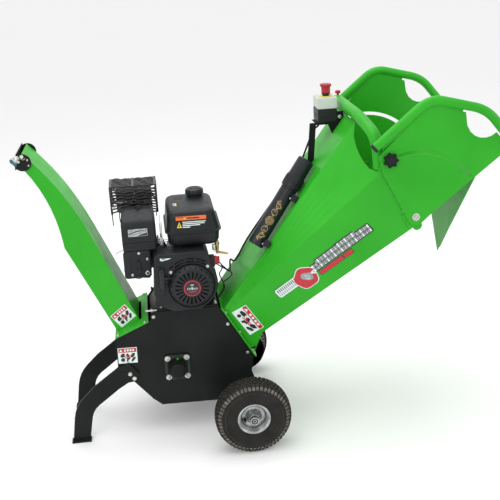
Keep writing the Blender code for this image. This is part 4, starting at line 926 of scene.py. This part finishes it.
def engine_wires():
    """Two wires that loop from the stop switch down beside the blower, and a zinc rod above."""
    shape = Shape()
    routes = (((-0.083, -0.11, 0.648), (-0.068, -0.112, 0.64), (-0.064, -0.112, 0.62), (-0.074, -0.111, 0.6),
               (-0.066, -0.108, 0.575), (-0.058, -0.104, 0.545), (-0.076, -0.102, 0.512),
               (-0.09, -0.104, 0.5)),
              ((-0.083, -0.118, 0.642), (-0.056, -0.12, 0.622), (-0.04, -0.116, 0.612),
               (-0.03, -0.112, 0.596),
               (-0.042, -0.11, 0.58), (-0.06, -0.108, 0.566), (-0.064, -0.107, 0.54),
               (-0.086, -0.105, 0.506)))
    for route in routes:
        shape.bar(smooth_route(route), 0.0021, "lead", 8)
    shape.bar(smooth_route(((-0.092, -0.104, 0.7), (-0.088, -0.098, 0.69), (-0.086, -0.1, 0.678))), 0.0014,
              "zinc", 8)
    piece("engine_wires", shape, "machine", smooth=60)


def engine_trim():
    """Base bolts of the engine, the drain pipe with its nuts and a clip at the tap."""
    shape = Shape()
    for x, y in ((-0.286, -0.104), (-0.096, -0.106), (-0.286, 0.104), (-0.096, 0.104)):
        shape.bolt((x, y, 0.4888), Z, 0.0075, stud=0.004)
    shape.bar([(-0.342, -0.118, 0.486), (-0.304, -0.118, 0.486)], 0.0032, "zinc", 12)
    shape.loft([circle(Vector((x, -0.118, 0.486)), Y, Z, 0.0068, 6) for x in (-0.325, -0.3185)], "zinc")
    shape.loft([circle(Vector((x, -0.118, 0.486)), Y, Z, 0.0056, 6) for x in (-0.344, -0.3405)], "zinc")
    shape.box((-0.093, -0.096, 0.684), (-0.082, -0.088, 0.706), "zinc", 0.001, 1)
    piece("engine_bolts", shape, "machine")


# ---------------------------------------------------------------- body, chute and hopper hardware
def body_bolts():
    """Near bearing's bolts, the legs' domed bolts and the bolts of the side plates."""
    shape = Shape()
    for _, sign in SIDES:
        outward = Y * sign
        if sign < 0:
            face = -BODY_HALF - 0.0093
            for dx in (-0.034, 0.034):
                for dz in (-0.037, 0.037):
                    spot = (ROTOR[0] + dx, face, ROTOR[1] + dz)
                    shape.bolt(spot, outward, 0.0108, stud=0.006, turn=dx * 20)
        leg = sign * (BODY_HALF + 0.0086)
        for x, z in ((-0.419, 0.254), (-0.405, 0.235)):
            dome = [(0.0088, 0), (0.0088, 0.0016), (0.007, 0.0052), (0.004, 0.0062)]
            shape.turned(dome, (x, leg, z), outward, "zinc", 24)
        plate = sign * (BODY_HALF + 0.0001)
        for x, z in ((-0.056, 0.41), (0.0105, 0.29), (-0.318, 0.464)):
            if sign < 0 or z < 0.3:
                shape.bolt((x, plate, z), outward, 0.0062)
    piece("body_bolts", shape, "machine")


def flange_bolts():
    """Nuts and bolts through the overhanging ends of the chute and hopper flanges."""
    shape = Shape()
    for low, high, lift, shares in (((-0.456, 0.398), (-0.336, 0.45), 0.0048, (0.09, 0.9)),
                                    ((0.035, 0.279), (-0.074, 0.47), 0.0048, (0.1, 0.5, 0.92))):
        start, end = Vector((low[0], 0, low[1])), Vector((high[0], 0, high[1]))
        along = (end - start).normalized()
        away = Vector((-along.z, 0, along.x)) if high[0] < -0.2 else Vector((along.z, 0, -along.x))
        for share in shares:
            for y in (-0.131, 0.131):
                spot = start.lerp(end, share) + away * lift + Y * y
                shape.bolt(spot, away, 0.0058)
    piece("flange_bolts", shape, "machine")


def chute_back_plate():
    """Lower back sheet of the chute, which closes the gap that the solid leaves there."""
    foot, bend = Vector((-0.368, 0, 0.4385)), Vector((-0.492, 0, 0.735))
    along = (bend - foot).normalized()
    out = Vector((along.z, 0, -along.x))
    rings = []
    for share, half in ((0.015, 0.0855), (0.95, 0.0827)):
        line = foot.lerp(bend, share)
        skin, core = line + out * 0.0002, line - out * 0.0024
        rings.append([skin - Y * half, skin + Y * half, core + Y * half, core - Y * half])
    shape = Shape()
    shape.loft(rings, "green")
    piece("chute_back_plate", shape, "machine")


def bearing_cap():
    """Domed cap over the near bearing boss, the flange plate and its green spot."""
    shape = Shape()
    centre = (ROTOR[0], -(BODY_HALF + 0.0325), ROTOR[1])
    shape.turned([(0.0296, 0.002), (0.03, -0.003), (0.0292, -0.01), (0.0262, -0.014), (0.018, -0.016)],
                 centre, Y, "black_paint", 48)
    shape.ring([(0.03, 0.006), (0.0312, 0.008), (0.0312, 0.012), (0.03, 0.014)], centre, Y, "black_paint", 48)
    plate = (ROTOR[0], -BODY_HALF - 0.0001, ROTOR[1])
    outline = rounded_box((-0.0455, -0.049), (0.0455, 0.049), 0.012, 5)
    shape.slab(outline, plate, X, Z, 0.0078, "bearing")
    shape.slab(rounded_box((-0.04, -0.0435), (0.04, 0.0435), 0.01, 5), plate, X, Z, 0.0092, "bearing")
    piece("bearing_cap", shape, "machine", smooth=50)
    shape = Shape()
    shape.turned([(0.0042, 0.0), (0.0042, -0.0008), (0.003, -0.0012)],
                 (ROTOR[0] + 0.002, -(BODY_HALF + 0.0094), ROTOR[1] + 0.0335), Y, "green", 16)
    piece("bearing_paint_spot", shape, "machine")


def rounded_path(points, bend, steps):
    """Replace each inner corner by an arc-like curve that starts bend before it."""
    path = [Vector(points[0])]
    for before, corner, after in zip(points, points[1:], points[2:]):
        before, corner, after = Vector(before), Vector(corner), Vector(after)
        start = corner + (before - corner).normalized() * bend
        end = corner + (after - corner).normalized() * bend
        path += [start.lerp(corner, k / steps).lerp(corner.lerp(end, k / steps), k / steps)
                 for k in range(steps + 1)]
    path.append(Vector(points[-1]))
    return path


def hoop_and_handles():
    """Guard bar, tray handles with plugged ends, and the weld strips under the handles."""
    half = ((0.452, 0.296, 0.99), (0.441, 0.296, 1.095), (0.417, 0.17, HOOP_TOP))
    points = [(x, -y, z) for x, y, z in half] + list(reversed(half))
    shape = Shape()
    shape.bar(rounded_path(points, 0.05, 10), 0.02, "green", 32)
    for side, sign in SIDES:
        shape.turned([(0.01, 0.0), (0.01, 0.0262)], (0.456, sign * 0.296, 1.0), Y * sign, "green", 20)
        shape.ring([(0.0102, 0.023), (0.0135, 0.024), (0.0135, 0.0262), (0.0102, 0.0262)],
                   (0.456, sign * 0.296, 1.0), Y * sign, "green", 24)
    piece("guard_bar", shape, "machine", ["hopper_hoop"], 60)
    line = ((0.425, 1.066), (0.604, 1.213), (0.79, 1.165), (0.893, 1.04))
    for side, sign in SIDES:
        path = rounded_path([(x, sign * 0.3368, z) for x, z in line], 0.045, 12)
        shape = Shape()
        shape.bar(path, 0.015, "green", 32)
        plug = [(0.0152, 0.004), (0.0152, -0.004), (0.013, -0.006)]
        for end, inside in ((path[0], path[1]), (path[-1], path[-2])):
            shape.turned(plug, end, inside - end, "gloss_plastic", 28)
        piece("%s_handle_tube" % side, shape, "feed_tray", ["%s_handle" % side], 60)
        bend = [p for p in path[1:] if p.x < 0.7]
        beyond = path[1 + len(bend)]
        edge = [path[0].lerp(bend[0], 0.12)] + bend + [bend[-1].lerp(beyond, 0.7)]
        edge = [Vector((p.x, sign * 0.3325, p.z)) for p in edge]
        rings = []
        for near, deep in zip(offset_path(edge, 0.008), offset_path(edge, 0.023)):
            rings.append([near - Y * 0.0015, deep - Y * 0.0015, deep + Y * 0.0015, near + Y * 0.0015])
        shape = Shape()
        shape.loft(rings, "green")
        shape.bar(offset_path(edge, 0.015), 0.003, "green", 8)
        piece("%s_handle_weld" % side, shape, "feed_tray")


def offset_path(path, distance):
    """The path moved sideways in its own XZ plane, towards the inside of the handle."""
    moved = []
    for i, point in enumerate(path):
        ahead = (path[min(i + 1, len(path) - 1)] - path[max(i - 1, 0)]).normalized()
        moved.append(point + Vector((ahead.z, 0, -ahead.x)) * distance)
    return moved


def star_knobs():
    """Seven-lobed hand knobs with a dimple, each on a zinc stud with a washer."""
    count = 112
    reach = 0.218
    angle = radians(114.0)
    x, z = PIVOT[0] + reach * cos(angle), PIVOT[1] + reach * sin(angle)
    for side, sign in SIDES:
        shape = Shape()
        centre = Vector((x, sign * 0.3345, z))
        rings = []
        for height, scale in ((0.0016, 0.78), (0.0024, 0.92), (0.0045, 1.0), (0.0125, 1.0), (0.0152, 0.94),
                              (0.0164, 0.8), (0.0165, 0.42), (0.015, 0.36), (0.0138, 0.2)):
            ring = []
            for k in range(count):
                a = 2 * pi * k / count
                wave = 0.0032 * cos(7 * a) if scale > 0.5 else 0.0
                r = (0.0222 + wave) * scale
                ring.append(centre + Vector((r * cos(a), sign * height, r * sin(a))))
            rings.append(ring)
        shape.loft(rings, "black_paint")
        shape.ring([(0.004, 0.0136), (0.0072, 0.0136), (0.0068, 0.015), (0.0044, 0.015)], centre, Y * sign,
                   "gloss_plastic", 24)
        shape.turned([(0.005, -0.0205), (0.005, 0.006)], centre, Y * sign, "zinc", 20)
        shape.washer((0.0056, 0.0108), (0.0001, 0.0013), centre, Y * sign, "zinc", 28)
        piece("%s_star_knob_moulded" % side, shape, "%s_clamp_knob" % side,
              ["%s_star_knob" % side], 40)


def tray_fittings():
    """Hinge bolts and washers of the tray, and the bosses it rests on."""
    bolts, washers, bosses = Shape(), Shape(), Shape()
    for _, sign in SIDES:
        hinge = (PIVOT[0], sign * 0.3347, PIVOT[1])
        bolts.bolt(hinge, Y * sign, 0.0088)
        washers.washer((0.007, 0.0128), (-0.0006, 0.0004), hinge, Y * sign, "zinc", 28)
        bosses.turned([(0.0165, -0.0055), (0.0165, 0.0055)], (0.575, sign * 0.314, 0.791), Y, "green", 28)
    piece("tray_hinge_bolts", bolts, "machine")
    piece("tray_hinge_washers", washers, "feed_tray")
    piece("hopper_rest_bosses", bosses, "machine")


def lip_fold():
    """Folded front strip and spine along the pointed lip."""
    slope_at = radians(38.3)
    u = Vector((cos(slope_at), 0, sin(slope_at)))
    n = Vector((-u.z, 0, u.x))
    top = Vector((PIVOT[0], 0, PIVOT[1])) + u * 0.252 - n * 0.0225
    tip = Vector((0.757, 0, 0.574))
    down = (tip - top).normalized()
    front = Vector((-down.z, 0, down.x))
    front = front if front.x > 0 else -front
    shape = Shape()
    for sign in (-1, 1):
        a = top + Y * (sign * 0.3) + front * 0.0035
        b = tip + Y * (sign * 0.012) + front * 0.0035 - down * 0.016
        edge = (b - a).normalized()
        inward = front.cross(edge).normalized()
        inward = inward if inward.y * sign < 0 else -inward
        rings = []
        for p in (a, b):
            rings.append([p, p + inward * 0.016, p + inward * 0.016 + front * 0.0022, p + front * 0.0022])
        shape.loft(rings, "green")
    piece("tray_lip_fold", shape, "feed_tray")


# ---------------------------------------------------------------- stop box, tube, deflector
def stop_box():
    """Mushroom button on its collar and yellow ring, moulded circles and screws of the box."""
    low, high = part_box("estop_lid")
    low, high = low - AXLE_SHIFT, high - AXLE_SHIFT
    button_low, button_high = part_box("estop_button")
    stem = (button_low + button_high) / 2 - AXLE_SHIFT
    shape = Shape()
    shape.ring([(0.0128, 0.0002), (0.027, 0.0002), (0.027, 0.001), (0.0258, 0.0014), (0.0128, 0.0014)],
               (stem.x, stem.y, high.z), Z, "yellow", 56)
    piece("stop_ring", shape, "machine")
    shape = Shape()
    top = high.z
    profile = [(0.011, -0.011), (0.011, 0.0062), (0.015, 0.0068), (0.015, 0.0125)]
    shape.turned(profile, (stem.x, stem.y, top), Z, "gloss_plastic", 40)
    cap = [(0.0146, 0.0125), (0.015, 0.0135), (0.0158, 0.0285), (0.017, 0.0325), (0.0198, 0.035),
           (0.0201, 0.0362),
           (0.0201, 0.0398), (0.0195, 0.0415), (0.017, 0.0428), (0.008, 0.0432)]
    shape.turned(cap, (stem.x, stem.y, top), Z, "red", 56)
    piece("stop_mushroom", shape, "stop_button", ["estop_button"], 35)
    shape = Shape()
    base_low, base_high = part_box("estop_base")
    base_low, base_high = base_low - AXLE_SHIFT, base_high - AXLE_SHIFT
    middle = (base_low + base_high) / 2
    near_face, left_face = (middle.x, base_low.y, middle.z), (base_low.x, middle.y, middle.z)
    for spot, axis in ((near_face, -Y), (left_face, -X)):
        for radius in (0.0062, 0.0105):
            radii = (radius - 0.0006, radius + 0.0006)
            shape.washer(radii, (-0.0004, 0.0005), spot, axis, "gloss_plastic", 36)
    for dx in (0.008, -0.008):
        x = low.x + dx if dx > 0 else high.x + dx
        for dy in (0.009, -0.009):
            y = low.y + dy if dy > 0 else high.y + dy
            shape.pan_screw((x, y, high.z), Z, 0.0026)
    for near, tall, look in ((0.016, 0.036, "black_print_and_painted_shade"), (0.0182, 0.034, "label_white")):
        x, y = stem.x + near, stem.y + 0.018
        shape.box((x, y, top), (x + 0.002, y + 0.016, top + tall), look)
    shape.bolt((0.39, 0.0038, 1.105), -Y, 0.007)
    shape.bolt((0.39, 0.0072, 1.105), Y, 0.007)
    piece("stop_box_fittings", shape, "machine")


def tube_details():
    """Collar beads, cap ribs, foot bolts and an abstract gilt curl on the document tube."""
    start, end = Vector((0.05757, -0.106, 0.69611)), Vector((0.26007, -0.04, 0.96964))
    axis = (end - start).normalized()
    u, v = across(axis)
    shape = Shape()
    for along, radius in ((0.004, 0.0292), (0.226, 0.0294)):
        path = circle(start + axis * along, u, v, radius, 48)
        shape.bar(path, 0.0012, "gloss_plastic", 8, closed=True)
    piece("tube_beads", shape, "machine", smooth=60)
    shape = Shape()
    for k in range(28):
        turn = 2 * pi * k / 28
        out = u * cos(turn) + v * sin(turn)
        side = axis.cross(out)
        shape.slab([(-0.001, 0.24), (0.001, 0.24), (0.001, 0.272), (-0.001, 0.272)],
                   start + out * 0.0333, side, axis, 0.0009, "gloss_plastic")
    piece("tube_cap_ribs", shape, "document_tube_cap")
    # The side of the tube that faces near and up carries the print
    towards = Vector((-0.1, -0.93, 0.34))
    near = (towards - axis * axis.dot(towards)).normalized()
    beside = axis.cross(near)
    radius = 0.0292

    def on_tube(along, around):
        turn = around / radius
        return start + axis * along + (near * cos(turn) + beside * sin(turn)) * radius

    shape = Shape()
    middle = 0.098
    for size in (0.0145, 0.0105, 0.007, 0.003):
        path = [on_tube(a, b) for a, b in round_outline((middle, 0), size, 28)]
        shape.bar(path, 0.0008, "gold", 6, closed=True)
    for sign in (-1, 1):
        for first, length, sway in ((0.018, 0.062, 0.011), (0.022, 0.05, -0.013), (0.05, 0.028, 0.016)):
            path = []
            for k in range(19):
                t = k / 18
                aside = sway * sin(pi * 2 * t) * (1 - 0.4 * t)
                path.append(on_tube(middle + sign * (first + length * t), aside))
            shape.bar(path, 0.0008, "gold", 6)
        for along in (0.024, 0.038, 0.054, 0.068):
            path = [on_tube(a, b) for a, b in round_outline((middle + sign * along, 0), 0.003, 10)]
            shape.bar(path, 0.0007, "gold", 6, closed=True)
    piece("tube_gilding", shape, "machine", smooth=60)
    shape = Shape()
    slope = Vector((0.479, 0, 0.647)).normalized()
    out = Vector((-slope.z, 0, slope.x))
    for along, across_y in ((0.024, -0.0385), (0.208, -0.0385), (0.024, 0.0085), (0.208, 0.0085)):
        spot = start + axis * along - out * 0.0115 + Vector((0, across_y, 0))
        shape.bolt(spot, out, 0.0045)
    piece("tube_foot_bolts", shape, "machine")


def deflector_details():
    """Screws and washer on the ear plates, spring and wing nut on the clamp stud."""
    shape = Shape()
    face = -0.0852
    pivot = (-0.702, face, 1.064)
    shape.turned([(0.006, 0.0), (0.006, -0.0012), (0.0045, -0.0018)], pivot, Y, "label_white", 20)
    shape.turned([(0.0032, -0.0012), (0.0032, -0.0032)], pivot, Y, "zinc", 12)
    shape.bar([(-0.706, face - 0.001, 1.056), (-0.696, face - 0.002, 1.054),
               (-0.69, face - 0.001, 1.059)], 0.0012, "brass", 8)
    for x, z in ((-0.683, 1.033), (-0.685, 1.052)):
        shape.pan_screw((x, face, z), -Y, 0.0034)
    shape.bolt((-0.702, 0.0852, 1.044), Y, 0.007)
    piece("deflector_screws", shape, "deflector")
    shape = Shape()
    hub = Vector((-0.719, -0.0902, 1.059))
    shape.bar(helix(hub + Y * -0.0005, -Y, 0.0098, 4, 0.012), 0.0011, "zinc", 8)
    for angle in (35, 215):
        turn = Matrix.Rotation(radians(angle), 3, "Y")
        wing = rounded_box((0.003, -0.0035), (0.015, 0.0035), 0.003, 3)
        shape.slab(wing, hub - Y * 0.0205, turn @ X, turn @ Z, -0.003, "zinc")
    shape.turned([(0.0052, 0.0), (0.005, 0.0045), (0.003, 0.006)], hub - Y * 0.0175, -Y, "zinc", 20)
    piece("deflector_clamp_spring", shape, "deflector_clamp", smooth=50)


# ---------------------------------------------------------------- labels
class Decal:
    """Thin printed shapes laid on the near side of a node or piece, found by rays along Y."""

    def __init__(self, node, corner, tilt):
        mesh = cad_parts[node].data if isinstance(node, str) else node.data
        self.tree = BVHTree.FromPolygons([v.co - AXLE_SHIFT for v in mesh.vertices],
                                         [tuple(p.vertices) for p in mesh.polygons])
        self.corner, self.tilt = corner, radians(tilt)
        self.shape = Shape()
        self.plane = None

    def spot(self, a, b, lift):
        """Point of the label plane, dropped onto the surface and lifted off it."""
        x = self.corner[0] + a * cos(self.tilt) - b * sin(self.tilt)
        z = self.corner[1] + a * sin(self.tilt) + b * cos(self.tilt)
        hit, normal, _, _ = self.tree.ray_cast(Vector((x, -2.0, z)), Y)
        if hit is None:
            point, normal = self.plane
            depth = (point - Vector((x, 0, z))).dot(normal) / normal.y
            return Vector((x, depth, z)) + normal * lift
        self.plane = (hit, normal)
        return hit + normal * lift

    def put(self, outline, look, layer=0):
        """Print one outline; each layer lies a little higher than the one before."""
        low, high = 0.0001, 0.0005 + 0.0005 * layer
        rows = [[self.spot(a, b, lift) for a, b in outline] for lift in (low, high)]
        self.shape.loft(rows, look)

    def card(self, a, b, c, d, look, layer=0):
        """A rectangle divided finely enough to follow a fold of the surface under it."""
        columns, rows = 12, 6
        wide, tall = (c - a) / columns, (d - b) / rows
        for i in range(columns):
            for j in range(rows):
                p, q = a + i * wide, b + j * tall
                self.put([(p, q), (p + wide, q), (p + wide, q + tall), (p, q + tall)], look, layer)

    def done(self, name):
        piece(name, self.shape, "machine")


def rectangle(a, b, c, d, radius=0.0006):
    """Outline of a label's bar, with its corners just taken off."""
    return rounded_box((a, b), (c, d), radius, 2)


def pictogram_label(name, node, corner, tilt, wide, tall):
    """White card with a red header and plain dark shapes; it carries no words."""
    card = Decal(node, corner, tilt)
    card.spot(wide / 2, tall / 2, 0.0)
    card.card(0, 0, wide, tall, "label_white")
    edge = 0.0025
    card.card(edge, tall * 0.7, wide - edge, tall - edge, "label_red", 1)
    mark = [(wide * 0.08, tall * 0.76), (wide * 0.24, tall * 0.76), (wide * 0.16, tall * 0.92)]
    card.put(mark, "label_white", 2)
    for k in range(4):
        left, right = wide * (0.34 + 0.14 * k), wide * (0.43 + 0.14 * k)
        card.put(rectangle(left, tall * 0.77, right, tall * 0.9), "label_white", 2)
    a = b = edge * 2
    w, h = wide - edge * 2 - a, tall * 0.66 - b
    card.put(round_outline((a + w * 0.2, b + h * 0.26), h * 0.21, 14), "black_print_and_painted_shade", 1)
    shapes = (((0.06, 0.58), (0.2, 0.52), (0.36, 0.62), (0.3, 0.76), (0.34, 0.98), (0.2, 0.98), (0.08, 0.84)),
              ((0.42, 0.06), (0.5, 0.02), (0.54, 0.24), (0.64, 0.3), (0.58, 0.5), (0.44, 0.44)),
              ((0.44, 0.6), (0.6, 0.56), (0.6, 0.7), (0.52, 0.98), (0.42, 0.9)),
              ((0.7, 0.04), (0.8, 0.02), (0.96, 0.3), (0.98, 0.52), (0.86, 0.5), (0.74, 0.26)),
              ((0.68, 0.52), (0.78, 0.44), (0.92, 0.66), (0.96, 0.92), (0.8, 0.98), (0.72, 0.76)))
    for outline in shapes:
        card.put([(a + w * p, b + h * q) for p, q in outline], "black_print_and_painted_shade", 1)
    for outline in (((0.32, 0.4), (0.7, 0.66), (0.68, 0.74), (0.3, 0.48)),
                    ((0.36, 0.72), (0.66, 0.38), (0.7, 0.46), (0.4, 0.8))):
        card.put([(a + w * p, b + h * q) for p, q in outline], "label_red", 2)
    card.done(name)


def band_height(a):
    """Upper edge of the graphic's stepped band."""
    return 0.027 if a < 0.178 else 0.036 if a < 0.268 else 0.039 if a < 0.342 else 0.031


def hopper_graphic():
    """Abstract hatched band with a red swoosh, laid along the hopper's near side."""
    art = Decal("hopper", (0.13, 0.518), 40.5)
    art.put(rectangle(-0.003, -0.007, 0.096, 0.034, 0.008), "black_print_and_painted_shade")
    art.put(rectangle(-0.001, -0.005, 0.094, 0.032, 0.007), "label_white", 1)
    for k in range(12):
        a = 0.004 + k * 0.0074
        art.put([(a, 0.0), (a + 0.003, 0.0), (a + 0.0042, 0.012), (a + 0.0012, 0.012)], "label_grey", 2)
        art.put([(a + 0.002, 0.015), (a + 0.005, 0.015), (a + 0.0062, 0.028), (a + 0.0032, 0.028)],
                "black_print_and_painted_shade", 2)
    for a, b, top in ((0.145, 0.182, 0.031), (0.178, 0.272, 0.04), (0.266, 0.346, 0.043),
                      (0.338, 0.402, 0.035)):
        art.put(rectangle(a, -0.002, b, top, 0.005), "black_print_and_painted_shade")
    for k in range(34):
        a = 0.15 + k * 0.0073
        tall = band_height(a)
        look = ("label_grey", "label_white", "label_grey", "silver")[k % 4]
        art.put([(a, 0.002), (a + 0.0056, 0.002), (a + 0.0072, tall), (a + 0.0016, tall)], look, 1)
        art.put([(a + 0.0022, tall * 0.4), (a + 0.0048, tall * 0.4), (a + 0.0052, tall * 0.62),
                 (a + 0.0026, tall * 0.62)], "black_print_and_painted_shade", 2)
    for a, b in ((0.166, 0.262), (0.267, 0.302)):
        art.put(rectangle(a - 0.002, -0.024, b + 0.002, -0.004, 0.004), "black_print_and_painted_shade")
        art.put(rectangle(a, -0.022, b, -0.006, 0.004), "label_red", 1)
    middle, reach = (0.118, 0.004), 0.04
    rim_line, swoosh = [], []
    for k in range(48):
        a = 2 * pi * k / 48
        wave = 1.0 + 0.05 * sin(5 * a)
        outer = (reach + 0.003) * wave
        rim_line.append((middle[0] + outer * cos(a), middle[1] + outer * sin(a)))
    for k in range(29):
        a = radians(14 + 334 * k / 28)
        wave = 1.0 + 0.05 * sin(5 * a)
        swoosh.append((middle[0] + reach * wave * cos(a), middle[1] + reach * wave * sin(a)))
    for k in range(29):
        a = radians(348 - 334 * k / 28)
        inner = reach * (0.46 + 0.1 * sin(k * 0.45))
        swoosh.append((middle[0] + 0.006 + inner * cos(a), middle[1] + 0.002 + inner * sin(a)))
    art.put(rim_line, "label_white", 2)
    art.put(round_outline(middle, reach * 0.62, 20), "label_grey", 3)
    art.put(swoosh, "label_red", 4)
    art.put([(middle[0] + p * reach, middle[1] + q * reach) for p, q in
             ((0.1, -0.35), (0.42, -0.15), (0.3, 0.2), (0.0, 0.32), (-0.12, 0.0))], "silver", 4)
    art.done("hopper_graphic")


def tank_labels(tank):
    """Orange band, triangle and text bars on the tank's side, and two marks on its top."""
    art = Decal(tank, (-0.213, 0.781), -0.5)
    art.put(rectangle(0.0, 0.03, 0.104, 0.0435, 0.001), "label_orange")
    art.put(rectangle(0.038, 0.0345, 0.08, 0.0385, 0.001), "black_print_and_painted_shade", 1)
    art.put([(0.026, 0.0335), (0.034, 0.0335), (0.03, 0.0405)], "label_yellow", 1)
    art.put([(0.002, 0.004), (0.02, 0.004), (0.011, 0.025)], "label_yellow", 0)
    art.put([(0.0085, 0.008), (0.0135, 0.008), (0.011, 0.018)], "black_print_and_painted_shade", 1)
    for row, length in enumerate((0.08, 0.076, 0.06, 0.026)):
        z = 0.0215 - row * 0.006
        art.put(rectangle(0.022, z, 0.022 + length, z + 0.003, 0.0008), "label_white")
    art.done("tank_label")
    shape = Shape()
    shape.slab(rectangle(0, 0, 0.0065, 0.034), (-0.217, -0.048, 0.8417), X, Y, 0.0009, "label_grey")
    shape.slab(rectangle(0, 0, 0.005, 0.034), (-0.2098, -0.049, 0.8417), X, Y, 0.0009, "label_yellow")
    piece("tank_top_mark", shape, "machine")


def small_labels(cleaner):
    """Silver badge of the air cleaner and a white mark on the blower."""
    art = Decal(cleaner, (-0.378, 0.767), 0.5)
    art.put(rectangle(0, 0, 0.066, 0.026, 0.0015), "silver")
    art.put([(0.002, 0.002), (0.026, 0.006), (0.05, 0.014), (0.064, 0.015), (0.064, 0.018), (0.036, 0.013),
             (0.002, 0.006)], "label_grey", 1)
    art.put([(0.002, 0.0085), (0.03, 0.0165), (0.064, 0.0205), (0.064, 0.0225), (0.026, 0.0195),
             (0.002, 0.012)],
            "black_print_and_painted_shade", 1)
    art.put([(0.002, 0.016), (0.024, 0.0215), (0.044, 0.024), (0.002, 0.0235)], "label_grey", 1)
    art.put([(0.03, 0.0015), (0.064, 0.0015), (0.064, 0.011), (0.046, 0.0075)], "black_print_and_painted_shade", 1)
    art.done("air_cleaner_badge")
    art = Decal("blower_housing", (-0.278, 0.688), 0.0)
    art.put([(0.0, 0.0), (0.006, -0.003), (0.03, 0.002), (0.0385, 0.006), (0.008, 0.0055), (0.0, 0.008)],
            "label_white")
    art.put([(0.003, 0.0015), (0.022, 0.0025), (0.01, 0.0045)], "black_print_and_painted_shade", 1)
    art.done("blower_mark")


# ---------------------------------------------------------------- stage
def camera():
    """Camera at the photograph's angle: slightly from the left, looking down about 20 degrees."""
    swing, tip, roll = -0.1111, 0.3478, -0.0481
    back = Vector((sin(swing) * cos(tip), -cos(swing) * cos(tip), sin(tip)))
    right = Vector((cos(swing), sin(swing), 0))
    up = back.cross(right)
    rolled_right = right * cos(roll) + up * sin(roll)
    rolled_up = up * cos(roll) - right * sin(roll)
    turn = Matrix((rolled_right, rolled_up, back)).transposed().to_4x4()
    data = bpy.data.cameras.new("camera")
    data.lens, data.sensor_width = 62.66, 36.0
    made = added("camera", data)
    made.matrix_world = Matrix.Translation((-0.3623, -2.9661, 1.7205)) @ turn
    bpy.context.scene.camera = made


def softbox(name, place, target, size, power):
    """Rectangular area light aimed at a point."""
    data = bpy.data.lights.new(name, "AREA")
    data.shape = "RECTANGLE"
    data.size, data.size_y = size
    data.energy = power
    made = added(name, data)
    made.location = place
    made.rotation_euler = (Vector(target) - Vector(place)).to_track_quat("-Z", "Y").to_euler()


def studio():
    """Plain pale floor under even, soft light."""
    mesh = bpy.data.meshes.new("floor")
    reach = 30.0
    mesh.from_pydata([(-reach, -reach, 0), (reach, -reach, 0), (reach, reach, 0), (-reach, reach, 0)], [],
                     [(0, 1, 2, 3)])
    floor = added("floor", mesh)
    pale = Finish("pale_floor")
    colour = pale.mix(pale.noise(0.8), (0.9, 0.9, 0.9), (0.92, 0.92, 0.92))
    mesh.materials.append(pale.finish(colour, pale.band(pale.noise(3.0), 0, 1, 0.75, 0.85),
                                      pale.bump(pale.noise(200.0), 0.0001)))
    world = bpy.data.worlds.new("studio")
    world.use_nodes = True
    light = world.node_tree.nodes["Background"]
    light.inputs["Color"].default_value = (1.0, 1.0, 1.0, 1.0)
    light.inputs["Strength"].default_value = 0.98
    bpy.context.scene.world = world
    softbox("overhead", (-0.4, 0.3, 3.6), (0, 0, 0.6), (3.2, 2.6), 58)
    softbox("front", (-2.2, -3.2, 2.4), (0, 0, 0.6), (2.2, 1.8), 30)
    softbox("right", (3.0, -1.4, 1.8), (0.1, 0, 0.6), (1.6, 1.8), 14)
    bpy.context.scene.view_settings.view_transform = "Standard"


def build():
    """Everything, in the order in which its materials and pieces are made."""
    camera()
    studio()
    dress_nodes()
    dress_lever()
    for side, sign in SIDES:
        tyre(side, sign)
        rim(side, sign)
    axle_ends()
    blower_housing()
    starter_cover()
    starter_grip()
    tank = fuel_tank()
    filler_cap()
    cleaner = air_cleaner()
    muffler_cage()
    carburettor_details()
    linkages()
    engine_wires()
    engine_trim()
    body_bolts()
    flange_bolts()
    bearing_cap()
    chute_back_plate()
    hoop_and_handles()
    star_knobs()
    tray_fittings()
    lip_fold()
    stop_box()
    tube_details()
    deflector_details()
    pictogram_label("chute_label", "discharge_chute", (-0.4335, 0.417), 37.2, 0.068, 0.06)
    pictogram_label("body_label", "body_near_plate", (-0.456, 0.294), -1.0, 0.068, 0.061)
    pictogram_label("hopper_label", "hopper", (-0.04, 0.454), -57.0, 0.114, 0.06)
    hopper_graphic()
    tank_labels(tank)
    small_labels(cleaner)


build()
